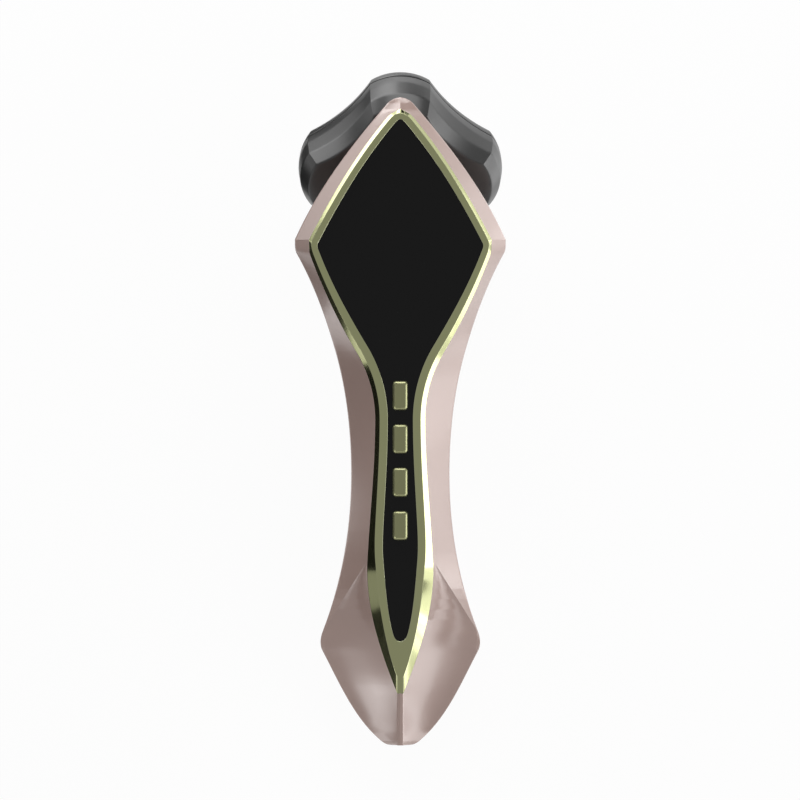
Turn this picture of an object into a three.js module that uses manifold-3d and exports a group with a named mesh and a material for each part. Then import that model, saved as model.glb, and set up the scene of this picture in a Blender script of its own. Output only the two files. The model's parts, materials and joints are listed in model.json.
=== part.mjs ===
// Hand-held facial massager: a waisted body with a diamond display, a slim grip with four keys,
// a swept fishtail, and a four-lobed massage head carried at the back of the diamond.
// Sizes are in millimetres. The device is drawn with x to the right, y towards the head and z out
// of the flat front, which is the plane z = 0. Depths are measured back from that plane.
// At the end the device is laid on its back, the way it rests on a table, with z up.
import * as THREE from 'three';
import { mergeVertices } from 'three/addons/utils/BufferGeometryUtils.js';
import Module from 'manifold-3d';

const wasm = await Module();
wasm.setup();

// Fits
const GAP = 0.3;
const KEY_CLEARANCE = 0.3;
const BEARING_CLEARANCE = 0.08;
const SCREW_CLEARANCE = 0.15;
const SEAT_CLEARANCE = 0.15;
const PRESS_CLEARANCE = 0.04;
const WALL = 1.8;

// Body, seen from the front
const BODY_TOP = 105;
const APEX_HALF_WIDTH = 3.7;
const APEX_DROP = 1.8;
const DIAMOND_HALF_WIDTH = 29.1;
const DIAMOND_CORNER_Y = 63.8;
const DIAMOND_CORNER_SPAN = 5;
const FLANK_HALF_WIDTH = 18.3;
const FLANK_Y = 34.1;
const WAIST_HALF_WIDTH = 13.8;
const WAIST_Y = -0.7;
const TAIL_HALF_WIDTH = 21.8;
const TAIL_CORNER_Y = -47.5;
const TAIL_CORNER_SPAN = 5.5;
const TAIL_END_HALF_WIDTH = 2.5;
const TAIL_END_Y = -76.6;
const TAIL_END_ROUND_X = 3;
const TAIL_END_ROUND_Y = 1.3;

// Flat gold band round the window, seen from the front: this is its outer edge. The rims are
// what shows of the body outside it
const APEX_RIM = 4.5;
const BAND_APEX_HALF_WIDTH = 2.9;
const BAND_APEX_DROP = 1.7;
const DIAMOND_RIM = 4.5;
const BAND_CORNER_DROP = 1;
const BAND_CORNER_SPAN = 4.2;
const BAND_CORNER_LEAN = 0.4;
const FLANK_RIM = 7.2;
const BAND_GRIP_HALF_WIDTH = 5.7;
const BAND_GRIP_Y = 14.6;
const BAND_SWELL_HALF_WIDTH = 6.9;
const BAND_SWELL_Y = -20;
const BAND_SWELL_SPAN = 11;
const BAND_TIP_ABOVE_TRIM_TIP = 4.6;
const BAND_WIDTH_DIAMOND = 1.75;
const BAND_WIDTH_GRIP = 2.2;
const WINDOW_END_ABOVE_BAND_TIP = 9.9;
const WINDOW_END_HALF_WIDTH = 2.2;
const WINDOW_END_LENGTH = 2.7;

// Bevelled edge of the trim
const BEVEL_WIDTH_DIAMOND = 0.95;
const BEVEL_WIDTH_GRIP = 1.3;
const BEVEL_DEPTH = 1.2;
const BEVEL_DEPTH_TAIL = 2.2;
const BEVEL_DEPTH_TIP = 1.6;
const TRIM_TAIL_HALF_WIDTH = 9.2;
const TRIM_TAIL_Y = -24.8;
const TRIM_TIP_Y = -62;
const LIP_WIDTH = 0.8;
const LIP_THICKNESS = 1;

// Fishtail: ridge, crease and scooped facets
const RIDGE_HALF_WIDTH = 0.85;
const RIDGE_HEIGHT = 0.5;
const CREASE_END_INSET = 0.4;
const CREASE_END_ABOVE_CORNER = 3.3;
const CREASE_EDGE_GAP = 0.1;
const SCOOP = 1.1;
const SCOOP_GROWTH = 1.5;

// Points across a sloped side, and where a side without a crease turns down to the widest line
const SLOPE_SHARES = [0.2, 0.5, 0.8];
const SHOULDER_SHARE = 0.92;
const LEAST_CREASE_SHARE = 0.3;
const APEX_STEP = 0.2;

// Depth of the widest line of the body, of its back, and the strip below the widest line
const EDGE_DEPTH_APEX = 4.2;
const EDGE_DEPTH_DIAMOND = 8;
const EDGE_DEPTH_GRIP = 10;
const EDGE_DEPTH_TAIL = 9;
const EDGE_DEPTH_END = 6.5;
const EDGE_STRIP = 0.8;
const BACK_DEPTH_APEX = 5.4;
const BACK_DEPTH_DIAMOND = 22;
const BACK_DEPTH_GRIP = 25.2;
const BACK_DEPTH_TAIL = 24;
const BACK_DEPTH_END = 9.5;
const BACK_FULLNESS = 2.4;
const BACK_STEPS = 6;

// Window and front floor
const WINDOW_RECESS = 0.2;
const WINDOW_THICKNESS = 1.5;
const WINDOW_SEAT = 0.2;
const FLOOR_THICKNESS = 1.4;

// Rooms inside the two shells
const ROOM_BELOW_TOP = 11;
const ROOM_ABOVE_END = 6;
const REAR_ROOM_LONGER = 1.5;
const SLOPED_WALL_SIDEWAYS = 1.35;
const SLOPED_WALL_DOWN = 1.53;
const ROOM_LEAST_HALF_WIDTH = 0.3;

// Display
const DISPLAY_MARGIN = 3.2;
const DISPLAY_BELOW_ROOM_TOP = 2.2;
const DISPLAY_ABOVE_FLANK = 5.9;

// Keys
const KEY_WIDTH = 3.8;
const KEY_LENGTH = 7.7;
const KEY_ROUND = 0.5;
const KEY_CHAMFER = 0.35;
const KEY_HEIGHT = 0.75;
const KEY_TRAVEL = 0.5;
const KEY_FLANGE = 0.5;
const KEY_FLANGE_THICKNESS = 0.8;
const KEY_FIRST_Y = 21.4;
const KEY_PITCH = 12.13;
const KEY_NAMES = ['power', 'mode', 'up', 'down'];
const KEY_OPENING_MARGIN = 0.5;
const SWITCH_SIZE = 4.6;
const SWITCH_ROUND = 0.5;
const SWITCH_SEAT = 0.1;
const PLUNGER_RADIUS = 1.1;
const PLUNGER_LENGTH = 2;

// Control board, battery and charging socket
const BOARD_DEPTH = 6.2;
const BOARD_THICKNESS = 1.2;
const BOARD_BELOW_ROOM_TOP = 4;
const BOARD_ABOVE_CREASE = 3.8;
const BATTERY_RADIUS = 7;
const BATTERY_LENGTH = 49;
const BATTERY_TOP_Y = 17;
const BATTERY_EDGE = 0.4;
const BATTERY_SHOULDER = 0.6;
const BATTERY_CONTACT_RADIUS = 2.6;
const BATTERY_CONTACT_HEIGHT = 0.6;
const STRAP_WIDTH = 8;
const STRAP_THICKNESS = 0.4;
const BUZZER_RADIUS = 4.5;
const BUZZER_HEIGHT = 3;
const BUZZER_HOLE_RADIUS = 1;
const BUZZER_HOLE_DEPTH = 0.8;
const BUZZER_X = -9;
const CHIP_SIZE = 7;
const CHIP_ROUND = 0.4;
const CHIP_HEIGHT = 1;
const CHIP_X = 7;
const SOCKET_WIDTH = 8.9;
const SOCKET_HEIGHT = 3.2;
const SOCKET_LENGTH = 6.5;
const SOCKET_WALL = 0.35;
const SOCKET_BACK_WALL = 1;
const SOCKET_TONGUE_WIDTH = 6.2;
const SOCKET_TONGUE_THICKNESS = 0.7;
const SOCKET_TONGUE_ROUND = 0.2;
const SOCKET_TONGUE_SINK = 1;
const SOCKET_ABOVE_END = 8.1;
const SOCKET_SINK = 0.3;

// Screws
const SCREW_RADIUS = 1;
const SCREW_HEAD_RADIUS = 1.9;
const SCREW_HEAD_HEIGHT = 1.3;
const SCREW_CROWN_RADIUS = 1.5;
const SCREW_RIM_HEIGHT = 0.8;
const SCREW_TIP_ROOM = 1;
const BOSS_RADIUS = 2.4;
const BOARD_BOSS_RADIUS = 1.8;
const SHELL_SCREW_INSET = 10.8;
const SHELL_SCREW_BELOW_CORNER = 12.8;
const TAIL_SCREW_ABOVE_CORNER = 1.5;
const SHELL_SCREW_DEPTH = 15.5;
const BOSS_ROOT = 0.5;
const BOARD_SCREW_INSET = 7.1;
const BOARD_SCREW_ABOVE_CORNER = 1.2;
const GRIP_SCREW_BELOW_FLANK = 3.7;

// Massage head: where its near face lies, how it leans, and its rim from that face outwards
const HEAD_BELOW_TOP = 25;
const HEAD_DEPTH = 22;
const HEAD_LEAN = 33;
const HEAD_RADIUS = 28.7;
const HEAD_SHOULDER_INSET = 0.5;
const HEAD_NEAR_INSET = 2.9;
const HEAD_SEAM_INSET = 0.2;
const HEAD_EDGE_INSET = 0.7;
const HEAD_BEVEL_INSET = 1.45;
const HEAD_FACE_INSET = 3.7;
const HEAD_SHOULDER_RISE = 4.8;
const HEAD_FLANK_RISE = 5.3;
const HEAD_SEAM_RISE = 3.5;
const HEAD_EDGE_RISE = 2.5;
const HEAD_BEVEL_RISE = 1.5;
const HEAD_CROWN_RISE = 0.6;
const LOBE_HALF_ANGLE = 18;
const LOBE_HOLLOW_NEAR = 2.1;
const LOBE_HOLLOW = 1.9;
const LOBE_HOLLOW_FACE = 1.5;
const HEAD_WALL = 2;
const HEAD_BOSS_HEIGHT = 3.5;
const FACE_THICKNESS = 2.2;
const FACE_WALL = 3;
const FACE_CORNER_WALL = 1;
const NECK_RADIUS = 15.5;
const NECK_ROOT_RADIUS = 16;
const NECK_ROOT_BELOW_HEAD = 6;
const NECK_ROOT_BEFORE_HEAD = 10.8;
const NECK_WALL = 2.8;
const NECK_FLANGE = 2;
const COLLAR_THICKNESS = 1.6;
const COLLAR_STAND = 0.6;
const WIRE_HOLE_RADIUS = 6.5;
const HEAD_SCREW_RING = 9.6;
const ELECTRODE_RADIUS = 5.8;
const ELECTRODE_MARGIN = 0.9;
const ELECTRODE_DOME = 1.7;
const ELECTRODE_RIM = 0.6;
const ELECTRODE_STEM_RADIUS = 2.6;
const ELECTRODE_STEM_INSIDE = 1.4;
const LENS_RADIUS = 7.8;
const LENS_STAND = 0.1;
const LENS_DOME = 0.8;
const LENS_FLANGE = 1.3;
const LENS_FLANGE_THICKNESS = 1.2;
const LAMP_BOARD_THICKNESS = 1;
const LAMP_BOARD_MARGIN = 0.5;

// Vibration motor, lying across the lower half of the head
const MOTOR_RADIUS = 4;
const MOTOR_LENGTH = 11;
const MOTOR_OFFSET = 13.2;
const MOTOR_SHIFT = 1.5;
const MOTOR_EDGE = 0.4;
const MOTOR_NOSE_RADIUS = 1.8;
const MOTOR_NOSE_LENGTH = 0.8;
const SHAFT_RADIUS = 0.6;
const SHAFT_INSIDE = 3.1;
const SHAFT_OUTSIDE = 4.5;
const WEIGHT_RADIUS = 3.4;
const WEIGHT_HUB_RADIUS = 1.2;
const WEIGHT_LENGTH = 3.4;
const CLAMP_THICKNESS = 0.8;
const CLAMP_WIDTH = 5;
const CLAMP_FOOT = 2.2;

// How finely the shapes are cut, and how far a cutting shape runs past what it cuts
const OUTLINE_STEPS = 5;
const FINE_STEPS = 24;
const STATION_GAP = 1.2;
const ROOM_STATION_GAP = 4.5;
const TIP_CUT = 0.12;
const POINT_GAP = 0.05;
const OVERCUT = 1;
const THROUGH = 60;

const MERGE_DISTANCE = 1e-4;
const ON_MIDDLE_LINE = 1e-6;

// Places and sizes that follow from those above
const BAND_TOP = BODY_TOP - APEX_RIM;
const BAND_DIAMOND_HALF_WIDTH = DIAMOND_HALF_WIDTH - DIAMOND_RIM;
const BAND_CORNER_Y = DIAMOND_CORNER_Y - BAND_CORNER_DROP;
const BAND_FLANK_HALF_WIDTH = FLANK_HALF_WIDTH - FLANK_RIM;
const BAND_TIP_Y = TRIM_TIP_Y + BAND_TIP_ABOVE_TRIM_TIP;
const WINDOW_END_Y = BAND_TIP_Y + WINDOW_END_ABOVE_BAND_TIP;
const CREASE_END_HALF_WIDTH = TAIL_HALF_WIDTH - CREASE_END_INSET;
const CREASE_END_Y = TAIL_CORNER_Y + CREASE_END_ABOVE_CORNER;
const ROOM_TOP_Y = BODY_TOP - ROOM_BELOW_TOP;
const ROOM_END_Y = TAIL_END_Y + ROOM_ABOVE_END;
const DISPLAY_TOP_Y = ROOM_TOP_Y - DISPLAY_BELOW_ROOM_TOP;
const DISPLAY_END_Y = FLANK_Y + DISPLAY_ABOVE_FLANK;
const BOARD_TOP_Y = ROOM_TOP_Y - BOARD_BELOW_ROOM_TOP;
const BOARD_END_Y = TRIM_TAIL_Y + BOARD_ABOVE_CREASE;
const SOCKET_Y = TAIL_END_Y + SOCKET_ABOVE_END;
const HEAD_NEAR_RADIUS = HEAD_RADIUS - HEAD_NEAR_INSET;
const HEAD_SHOULDER_RADIUS = HEAD_RADIUS - HEAD_SHOULDER_INSET;
const HEAD_SEAM_RADIUS = HEAD_RADIUS - HEAD_SEAM_INSET;
const HEAD_EDGE_RADIUS = HEAD_RADIUS - HEAD_EDGE_INSET;
const HEAD_BEVEL_RADIUS = HEAD_RADIUS - HEAD_BEVEL_INSET;
const HEAD_FACE_RADIUS = HEAD_RADIUS - HEAD_FACE_INSET;
const HEAD_WIDEST_HEIGHT = HEAD_SHOULDER_RISE + HEAD_FLANK_RISE;
const HEAD_SEAM_HEIGHT = HEAD_WIDEST_HEIGHT + HEAD_SEAM_RISE;
const HEAD_EDGE_HEIGHT = HEAD_SEAM_HEIGHT + HEAD_EDGE_RISE;
const HEAD_BEVEL_HEIGHT = HEAD_EDGE_HEIGHT + HEAD_BEVEL_RISE;
const HEAD_HEIGHT = HEAD_BEVEL_HEIGHT + HEAD_CROWN_RISE;
const HEAD_Y = BODY_TOP - HEAD_BELOW_TOP;
const NECK_ROOT_Y = HEAD_Y - NECK_ROOT_BELOW_HEAD;
const NECK_ROOT_DEPTH = HEAD_DEPTH - NECK_ROOT_BEFORE_HEAD;
const ELECTRODE_RING = HEAD_FACE_RADIUS - ELECTRODE_MARGIN - ELECTRODE_RADIUS;

const degrees = THREE.MathUtils.degToRad;
const at = (x, y, turn) => ({ x, y, turn });

// One outline is a list of places on the right-hand side, from the top down. At each place the
// line runs in the direction turn: 0 is straight down, 90 to the right, -90 to the middle.
const direction = (turn) => new THREE.Vector2(Math.sin(degrees(turn)), -Math.cos(degrees(turn)));

// Moves each place of an outline outwards by its own distance
function offset(outline, distances) {
  return outline.map((place, i) => at(
    place.x + Math.cos(degrees(place.turn)) * distances[i],
    place.y + Math.sin(degrees(place.turn)) * distances[i],
    place.turn,
  ));
}

// Smooth curve through the places of an outline
function trace(outline, steps) {
  const points = [];
  for (let i = 0; i < outline.length - 1; i++) {
    const [from, to] = [outline[i], outline[i + 1]];
    const start = new THREE.Vector2(from.x, from.y);
    const end = new THREE.Vector2(to.x, to.y);
    const bend = degrees(Math.abs(to.turn - from.turn));
    const reach = start.distanceTo(end) / (3 * Math.cos(bend / 4) ** 2);
    const curve = new THREE.CubicBezierCurve(
      start,
      start.clone().addScaledVector(direction(from.turn), reach),
      end.clone().addScaledVector(direction(to.turn), -reach),
      end,
    );
    const run = curve.getPoints(steps);
    points.push(...(i === 0 ? run : run.slice(1)));
  }
  return points;
}

// Half-width of a traced outline at height y, or 0 past its ends
function halfWidthOf(points) {
  return (y) => {
    for (let i = 0; i < points.length - 1; i++) {
      const [a, b] = [points[i], points[i + 1]];
      if (y <= a.y && y >= b.y && a.y > b.y) return a.x + (b.x - a.x) * (a.y - y) / (a.y - b.y);
    }
    return 0;
  };
}

// Smooth value along the body, through [y, value] pairs from the top down
function along(pairs) {
  const slope = (i) => {
    const [a, b] = [pairs[Math.max(i - 1, 0)], pairs[Math.min(i + 1, pairs.length - 1)]];
    return (b[1] - a[1]) / (b[0] - a[0]);
  };
  return (y) => {
    if (y >= pairs[0][0]) return pairs[0][1];
    if (y <= pairs.at(-1)[0]) return pairs.at(-1)[1];
    const i = pairs.findIndex((pair, k) => y <= pair[0] && y >= pairs[k + 1][0]);
    const [[y0, v0], [y1, v1]] = [pairs[i], pairs[i + 1]];
    const span = y1 - y0;
    const t = (y - y0) / span;
    return v0 * (1 + 2 * t) * (1 - t) ** 2 + slope(i) * span * t * (1 - t) ** 2
      + v1 * t * t * (3 - 2 * t) + slope(i + 1) * span * t * t * (t - 1);
  };
}

const BODY_OUTLINE = [
  at(0, BODY_TOP, 90),
  at(APEX_HALF_WIDTH, BODY_TOP - APEX_DROP, 41),
  at(DIAMOND_HALF_WIDTH, DIAMOND_CORNER_Y + DIAMOND_CORNER_SPAN / 2, 24),
  at(DIAMOND_HALF_WIDTH, DIAMOND_CORNER_Y - DIAMOND_CORNER_SPAN / 2, -29),
  at(FLANK_HALF_WIDTH, FLANK_Y, -16),
  at(WAIST_HALF_WIDTH, WAIST_Y, 0),
  at(TAIL_HALF_WIDTH, TAIL_CORNER_Y + TAIL_CORNER_SPAN / 2, 21),
  at(TAIL_HALF_WIDTH, TAIL_CORNER_Y - TAIL_CORNER_SPAN / 2, -28),
  at(TAIL_END_HALF_WIDTH + TAIL_END_ROUND_X, TAIL_END_Y + TAIL_END_ROUND_Y, -50),
  at(TAIL_END_HALF_WIDTH, TAIL_END_Y, -90),
];

const BAND_OUTLINE = [
  at(0, BAND_TOP, 90),
  at(BAND_APEX_HALF_WIDTH, BAND_TOP - BAND_APEX_DROP, 40),
  at(BAND_DIAMOND_HALF_WIDTH, BAND_CORNER_Y + BAND_CORNER_SPAN / 2, 27),
  at(BAND_DIAMOND_HALF_WIDTH - BAND_CORNER_LEAN, BAND_CORNER_Y - BAND_CORNER_SPAN / 2, -21),
  at(BAND_FLANK_HALF_WIDTH, FLANK_Y, -31),
  at(BAND_GRIP_HALF_WIDTH, BAND_GRIP_Y, 0),
  at(BAND_SWELL_HALF_WIDTH, BAND_SWELL_Y + BAND_SWELL_SPAN / 2, 3),
  at(BAND_SWELL_HALF_WIDTH, BAND_SWELL_Y - BAND_SWELL_SPAN / 2, -5),
  at(RIDGE_HALF_WIDTH, BAND_TIP_Y, -21),
];

// Outline moved outwards by one distance round the diamond and by another along the grip
const DIAMOND_PLACES = 4;
const offsetBoth = (outline, atDiamond, atGrip) => (
  offset(outline, outline.map((place, i) => (i < DIAMOND_PLACES ? atDiamond : atGrip)))
);
const offsetAll = (outline, distance) => offsetBoth(outline, distance, distance);

// The window edge follows the band down to the window's round lower end
const WINDOW_OUTLINE = [
  ...offsetBoth(BAND_OUTLINE.slice(0, -1), -BAND_WIDTH_DIAMOND, -BAND_WIDTH_GRIP),
  at(WINDOW_END_HALF_WIDTH, WINDOW_END_Y + WINDOW_END_LENGTH, -14),
  at(0, WINDOW_END_Y, -90),
];

// The trim's outer edge follows the band to the fishtail, then runs straight to the trim's tip
const GRIP_PLACES = 6;
const TRIM_OUTLINE = [
  ...offsetBoth(BAND_OUTLINE.slice(0, GRIP_PLACES), BEVEL_WIDTH_DIAMOND, BEVEL_WIDTH_GRIP),
  at(TRIM_TAIL_HALF_WIDTH, TRIM_TAIL_Y, 3),
  at(RIDGE_HALF_WIDTH, TRIM_TIP_Y, -22),
];
const TRIM_TOP = TRIM_OUTLINE[0].y;

const bodyHalfWidth = halfWidthOf(trace(BODY_OUTLINE, FINE_STEPS));
const trimHalfWidth = halfWidthOf(trace(TRIM_OUTLINE, FINE_STEPS));
const windowHalfWidth = halfWidthOf(trace(WINDOW_OUTLINE, FINE_STEPS));

const bevelDepth = along([
  [BODY_TOP, BEVEL_DEPTH],
  [WAIST_Y, BEVEL_DEPTH],
  [TRIM_TAIL_Y, BEVEL_DEPTH],
  [TAIL_CORNER_Y, BEVEL_DEPTH_TAIL],
  [TRIM_TIP_Y, BEVEL_DEPTH_TIP],
  [TAIL_END_Y, BEVEL_DEPTH_TAIL],
]);
const edgeDepth = along([
  [BODY_TOP, EDGE_DEPTH_APEX],
  [DIAMOND_CORNER_Y, EDGE_DEPTH_DIAMOND],
  [WAIST_Y, EDGE_DEPTH_GRIP],
  [TAIL_CORNER_Y, EDGE_DEPTH_TAIL],
  [TAIL_END_Y, EDGE_DEPTH_END],
]);
const backDepth = along([
  [BODY_TOP, BACK_DEPTH_APEX],
  [(BODY_TOP + DIAMOND_CORNER_Y) / 2, (BACK_DEPTH_APEX + BACK_DEPTH_DIAMOND) / 2],
  [DIAMOND_CORNER_Y, BACK_DEPTH_DIAMOND],
  [FLANK_Y, BACK_DEPTH_GRIP],
  [WAIST_Y, BACK_DEPTH_GRIP],
  [TAIL_CORNER_Y, BACK_DEPTH_TAIL],
  [TAIL_END_Y, BACK_DEPTH_END],
]);

const windowBack = WINDOW_RECESS + WINDOW_THICKNESS;
const trimDepth = windowBack + WINDOW_SEAT + LIP_THICKNESS;
const floorFront = trimDepth + GAP;
const floorBack = floorFront + FLOOR_THICKNESS;
const boardBack = BOARD_DEPTH + BOARD_THICKNESS;
const skinTopY = BODY_TOP - TIP_CUT;

// Heights at which the body is cut into sections, close together where its outline turns
function stations(highest, lowest, gap = STATION_GAP) {
  const heights = trace(BODY_OUTLINE, OUTLINE_STEPS).map((point) => point.y);
  const chosen = [highest];
  for (const y of heights) {
    if (y < chosen.at(-1) - gap && y > lowest + gap) chosen.push(y);
  }
  chosen.push(lowest);
  return chosen;
}

// Turns any closed geometry into a bare solid: shared corners merged, no empty faces, facing out
function closed(geometry) {
  const bare = geometry.index ? geometry : mergeVertices(geometry);
  bare.deleteAttribute('normal');
  bare.deleteAttribute('uv');
  const merged = mergeVertices(bare, MERGE_DISTANCE);
  const corners = merged.index.array;
  const kept = [];
  for (let i = 0; i < corners.length; i += 3) {
    const [a, b, c] = [corners[i], corners[i + 1], corners[i + 2]];
    if (a !== b && b !== c && c !== a) kept.push(a, b, c);
  }
  merged.setIndex(kept);
  if (volumeOf(merged) < 0) merged.setIndex(kept.reverse());
  return merged;
}

function volumeOf(geometry) {
  const place = geometry.attributes.position;
  const corners = geometry.index.array;
  const [a, b, c] = [new THREE.Vector3(), new THREE.Vector3(), new THREE.Vector3()];
  let sum = 0;
  for (let i = 0; i < corners.length; i += 3) {
    a.fromBufferAttribute(place, corners[i]);
    b.fromBufferAttribute(place, corners[i + 1]);
    c.fromBufferAttribute(place, corners[i + 2]);
    sum += a.dot(b.cross(c)) / 6;
  }
  return sum;
}

function solid(geometry) {
  const bare = closed(geometry);
  return new wasm.Manifold(new wasm.Mesh({
    numProp: 3,
    vertProperties: Float32Array.from(bare.attributes.position.array),
    triVerts: Uint32Array.from(bare.index.array),
  }));
}

function geometryOf(result) {
  const mesh = result.getMesh();
  const geometry = new THREE.BufferGeometry();
  const places = Float32Array.from(mesh.vertProperties);
  geometry.setAttribute('position', new THREE.BufferAttribute(places, 3));
  geometry.setIndex(Array.from(mesh.triVerts));
  return geometry;
}

// Joins, then cuts
function carve(bodies, tools) {
  const whole = bodies.map(solid).reduce((sum, next) => sum.add(next));
  return geometryOf(tools.map(solid).reduce((rest, tool) => rest.subtract(tool), whole));
}

// Closed skin over rings that have the same number of points, with a flat cap at each end
function loft(rings) {
  const count = rings[0].length;
  const index = [];
  for (let r = 0; r < rings.length - 1; r++) {
    for (let i = 0; i < count; i++) {
      const next = (i + 1) % count;
      const [a, b] = [r * count + i, r * count + next];
      index.push(a, b, a + count, b, b + count, a + count);
    }
  }
  const last = (rings.length - 1) * count;
  index.push(...capOf(rings[0], 0).reverse());
  index.push(...capOf(rings.at(-1), last));
  const geometry = new THREE.BufferGeometry();
  const positions = rings.flat().flatMap((point) => point.toArray());
  geometry.setAttribute('position', new THREE.Float32BufferAttribute(positions, 3));
  geometry.setIndex(index);
  return closed(geometry);
}

// Triangles of a flat ring, wound the way the ring runs
function capOf(ring, first) {
  const facing = new THREE.Vector3();
  ring.forEach((point, i) => facing.add(point.clone().cross(ring[(i + 1) % ring.length])));
  const size = facing.toArray().map(Math.abs);
  const across = size.indexOf(Math.max(...size));
  const flat = ring.map((point) => {
    const values = point.toArray();
    return new THREE.Vector2(values[(across + 1) % 3], values[(across + 2) % 3]);
  });
  const triangles = THREE.ShapeUtils.triangulateShape(flat, []);
  const areaOf = (corners) => THREE.ShapeUtils.area(corners.map((i) => flat[i]));
  const covered = triangles.reduce((sum, corners) => sum + areaOf(corners), 0);
  const agrees = Math.sign(covered) === Math.sign(THREE.ShapeUtils.area(flat));
  return triangles.flatMap(([a, b, c]) => (
    (agrees ? [a, b, c] : [a, c, b]).map((corner) => corner + first)
  ));
}

// Both sides of a right-hand outline as one loop, seen from the front
function loopOf(points) {
  const left = points.filter((point) => point.x > ON_MIDDLE_LINE).reverse();
  return [...points, ...left.map((point) => new THREE.Vector2(-point.x, point.y))];
}

// Loop whose half-width is given by a function, between two heights
function loopBetween(halfWidth, highest, lowest) {
  return loopOf(stations(highest, lowest).map((y) => (
    new THREE.Vector2(Math.max(halfWidth(y), ROOM_LEAST_HALF_WIDTH), y)
  )));
}

// Plate of a loop, from one depth behind the front to another, with holes if need be
function plate(loop, front, back, holes = []) {
  const shape = new THREE.Shape(loop);
  shape.holes = holes.map((hole) => new THREE.Path(hole));
  const geometry = new THREE.ExtrudeGeometry(shape, { depth: back - front, bevelEnabled: false });
  return closed(geometry.translate(0, 0, -back));
}

function roundedLoop(width, length, round, x = 0, y = 0, steps = 3) {
  const points = [];
  for (const [sx, sy, start] of [[1, 1, 0], [-1, 1, 90], [-1, -1, 180], [1, -1, 270]]) {
    for (let i = 0; i <= steps; i++) {
      const angle = degrees(start + 90 * i / steps);
      points.push(new THREE.Vector2(
        x + sx * (width / 2 - round) + round * Math.cos(angle),
        y + sy * (length / 2 - round) + round * Math.sin(angle),
      ));
    }
  }
  return points;
}

function circleLoop(radius, steps = 24) {
  return new THREE.Path().absarc(0, 0, radius, 0, 2 * Math.PI).getSpacedPoints(steps).slice(0, -1);
}

// Solid turned about the z axis from [radius, height] pairs that start and end on the axis
function turned(profile, steps = 14) {
  const points = profile.map(([radius, height]) => new THREE.Vector2(radius, height));
  return closed(new THREE.LatheGeometry(points, steps).rotateX(Math.PI / 2));
}

function rod(radius, low, high, steps = 12) {
  return turned([[0, low], [radius, low], [radius, high], [0, high]], steps);
}

// The same rod at several places
function rodsAt(places, radius, low, high) {
  return places.map(([x, y]) => rod(radius, low, high).translate(x, y, 0));
}

// Height of an even arch at a share of its span
const arch = (height, share) => height * 4 * share * (1 - share);

// Section of the body's front half at height y, right-hand side, from the trim out to the edge
function frontSection(y) {
  const edge = bodyHalfWidth(y);
  const depth = edgeDepth(y);
  const aboveTrim = y > TRIM_TOP;
  const belowTrim = y < TRIM_TIP_Y;
  let start = trimHalfWidth(y);
  if (aboveTrim) start = POINT_GAP;
  if (belowTrim) start = RIDGE_HALF_WIDTH;
  const rise = aboveTrim ? (y - TRIM_TOP) / (BODY_TOP - TRIM_TOP) : 0;
  const top = bevelDepth(y) + rise * (depth - bevelDepth(y) - APEX_STEP);
  const ridge = belowTrim ? RIDGE_HEIGHT : 0;
  const creaseRun = THREE.MathUtils.clamp((TRIM_TAIL_Y - y) / (TRIM_TAIL_Y - CREASE_END_Y), 0, 1);
  const creased = creaseRun > 0;
  const crease = THREE.MathUtils.lerp(TRIM_TAIL_HALF_WIDTH, CREASE_END_HALF_WIDTH, creaseRun);
  const outer = creased ? Math.min(Math.max(crease, start), edge - CREASE_EDGE_GAP) : edge;
  const slopeDepth = (x) => top + (depth - top) * (x - start) / (edge - start);
  const scoop = SCOOP * Math.min(creaseRun * SCOOP_GROWTH, 1);
  const points = [new THREE.Vector2(start, -(top - ridge))];
  for (const share of SLOPE_SHARES) {
    const x = start + (outer - start) * share;
    points.push(new THREE.Vector2(x, -(slopeDepth(x) + arch(scoop, share))));
  }
  const leastCorner = start + (edge - start) * LEAST_CREASE_SHARE;
  const corner = creased ? Math.max(outer, leastCorner) : start + (edge - start) * SHOULDER_SHARE;
  points.push(new THREE.Vector2(corner, -slopeDepth(corner)));
  points.push(new THREE.Vector2(edge, -depth));
  points.push(new THREE.Vector2(edge, -(depth + EDGE_STRIP)));
  return points;
}

// Both sides of a section as one ring at height y
function ringOf(section, y) {
  const right = section.map((point) => new THREE.Vector3(point.x, y, point.y));
  const left = [...section].reverse().map((point) => new THREE.Vector3(-point.x, y, point.y));
  return [...right, ...left];
}

// Section of the room inside the front half: the skin moved in by the wall, below the floor
function frontRoomSection(y) {
  const edge = bodyHalfWidth(y) - WALL;
  const slope = frontSection(y).slice(0, -2);
  const points = slope.map((point, i) => new THREE.Vector2(
    THREE.MathUtils.clamp(
      point.x - SLOPED_WALL_SIDEWAYS,
      ROOM_LEAST_HALF_WIDTH + POINT_GAP * i,
      edge - POINT_GAP * (slope.length - i),
    ),
    Math.min(point.y - SLOPED_WALL_DOWN, -floorBack),
  ));
  points.push(new THREE.Vector2(edge, -(edgeDepth(y) + EDGE_STRIP / 2)));
  points.push(new THREE.Vector2(edge, -(edgeDepth(y) + EDGE_STRIP + OVERCUT)));
  return points;
}

// Half-width of that room at a depth
function roomHalfWidth(y, depth) {
  const points = frontRoomSection(y);
  const i = points.findIndex((point) => -point.y >= depth);
  if (i < 1) return points[0].x;
  const share = (depth + points[i - 1].y) / (points[i - 1].y - points[i].y);
  return points[i - 1].x + (points[i].x - points[i - 1].x) * share;
}

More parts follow.
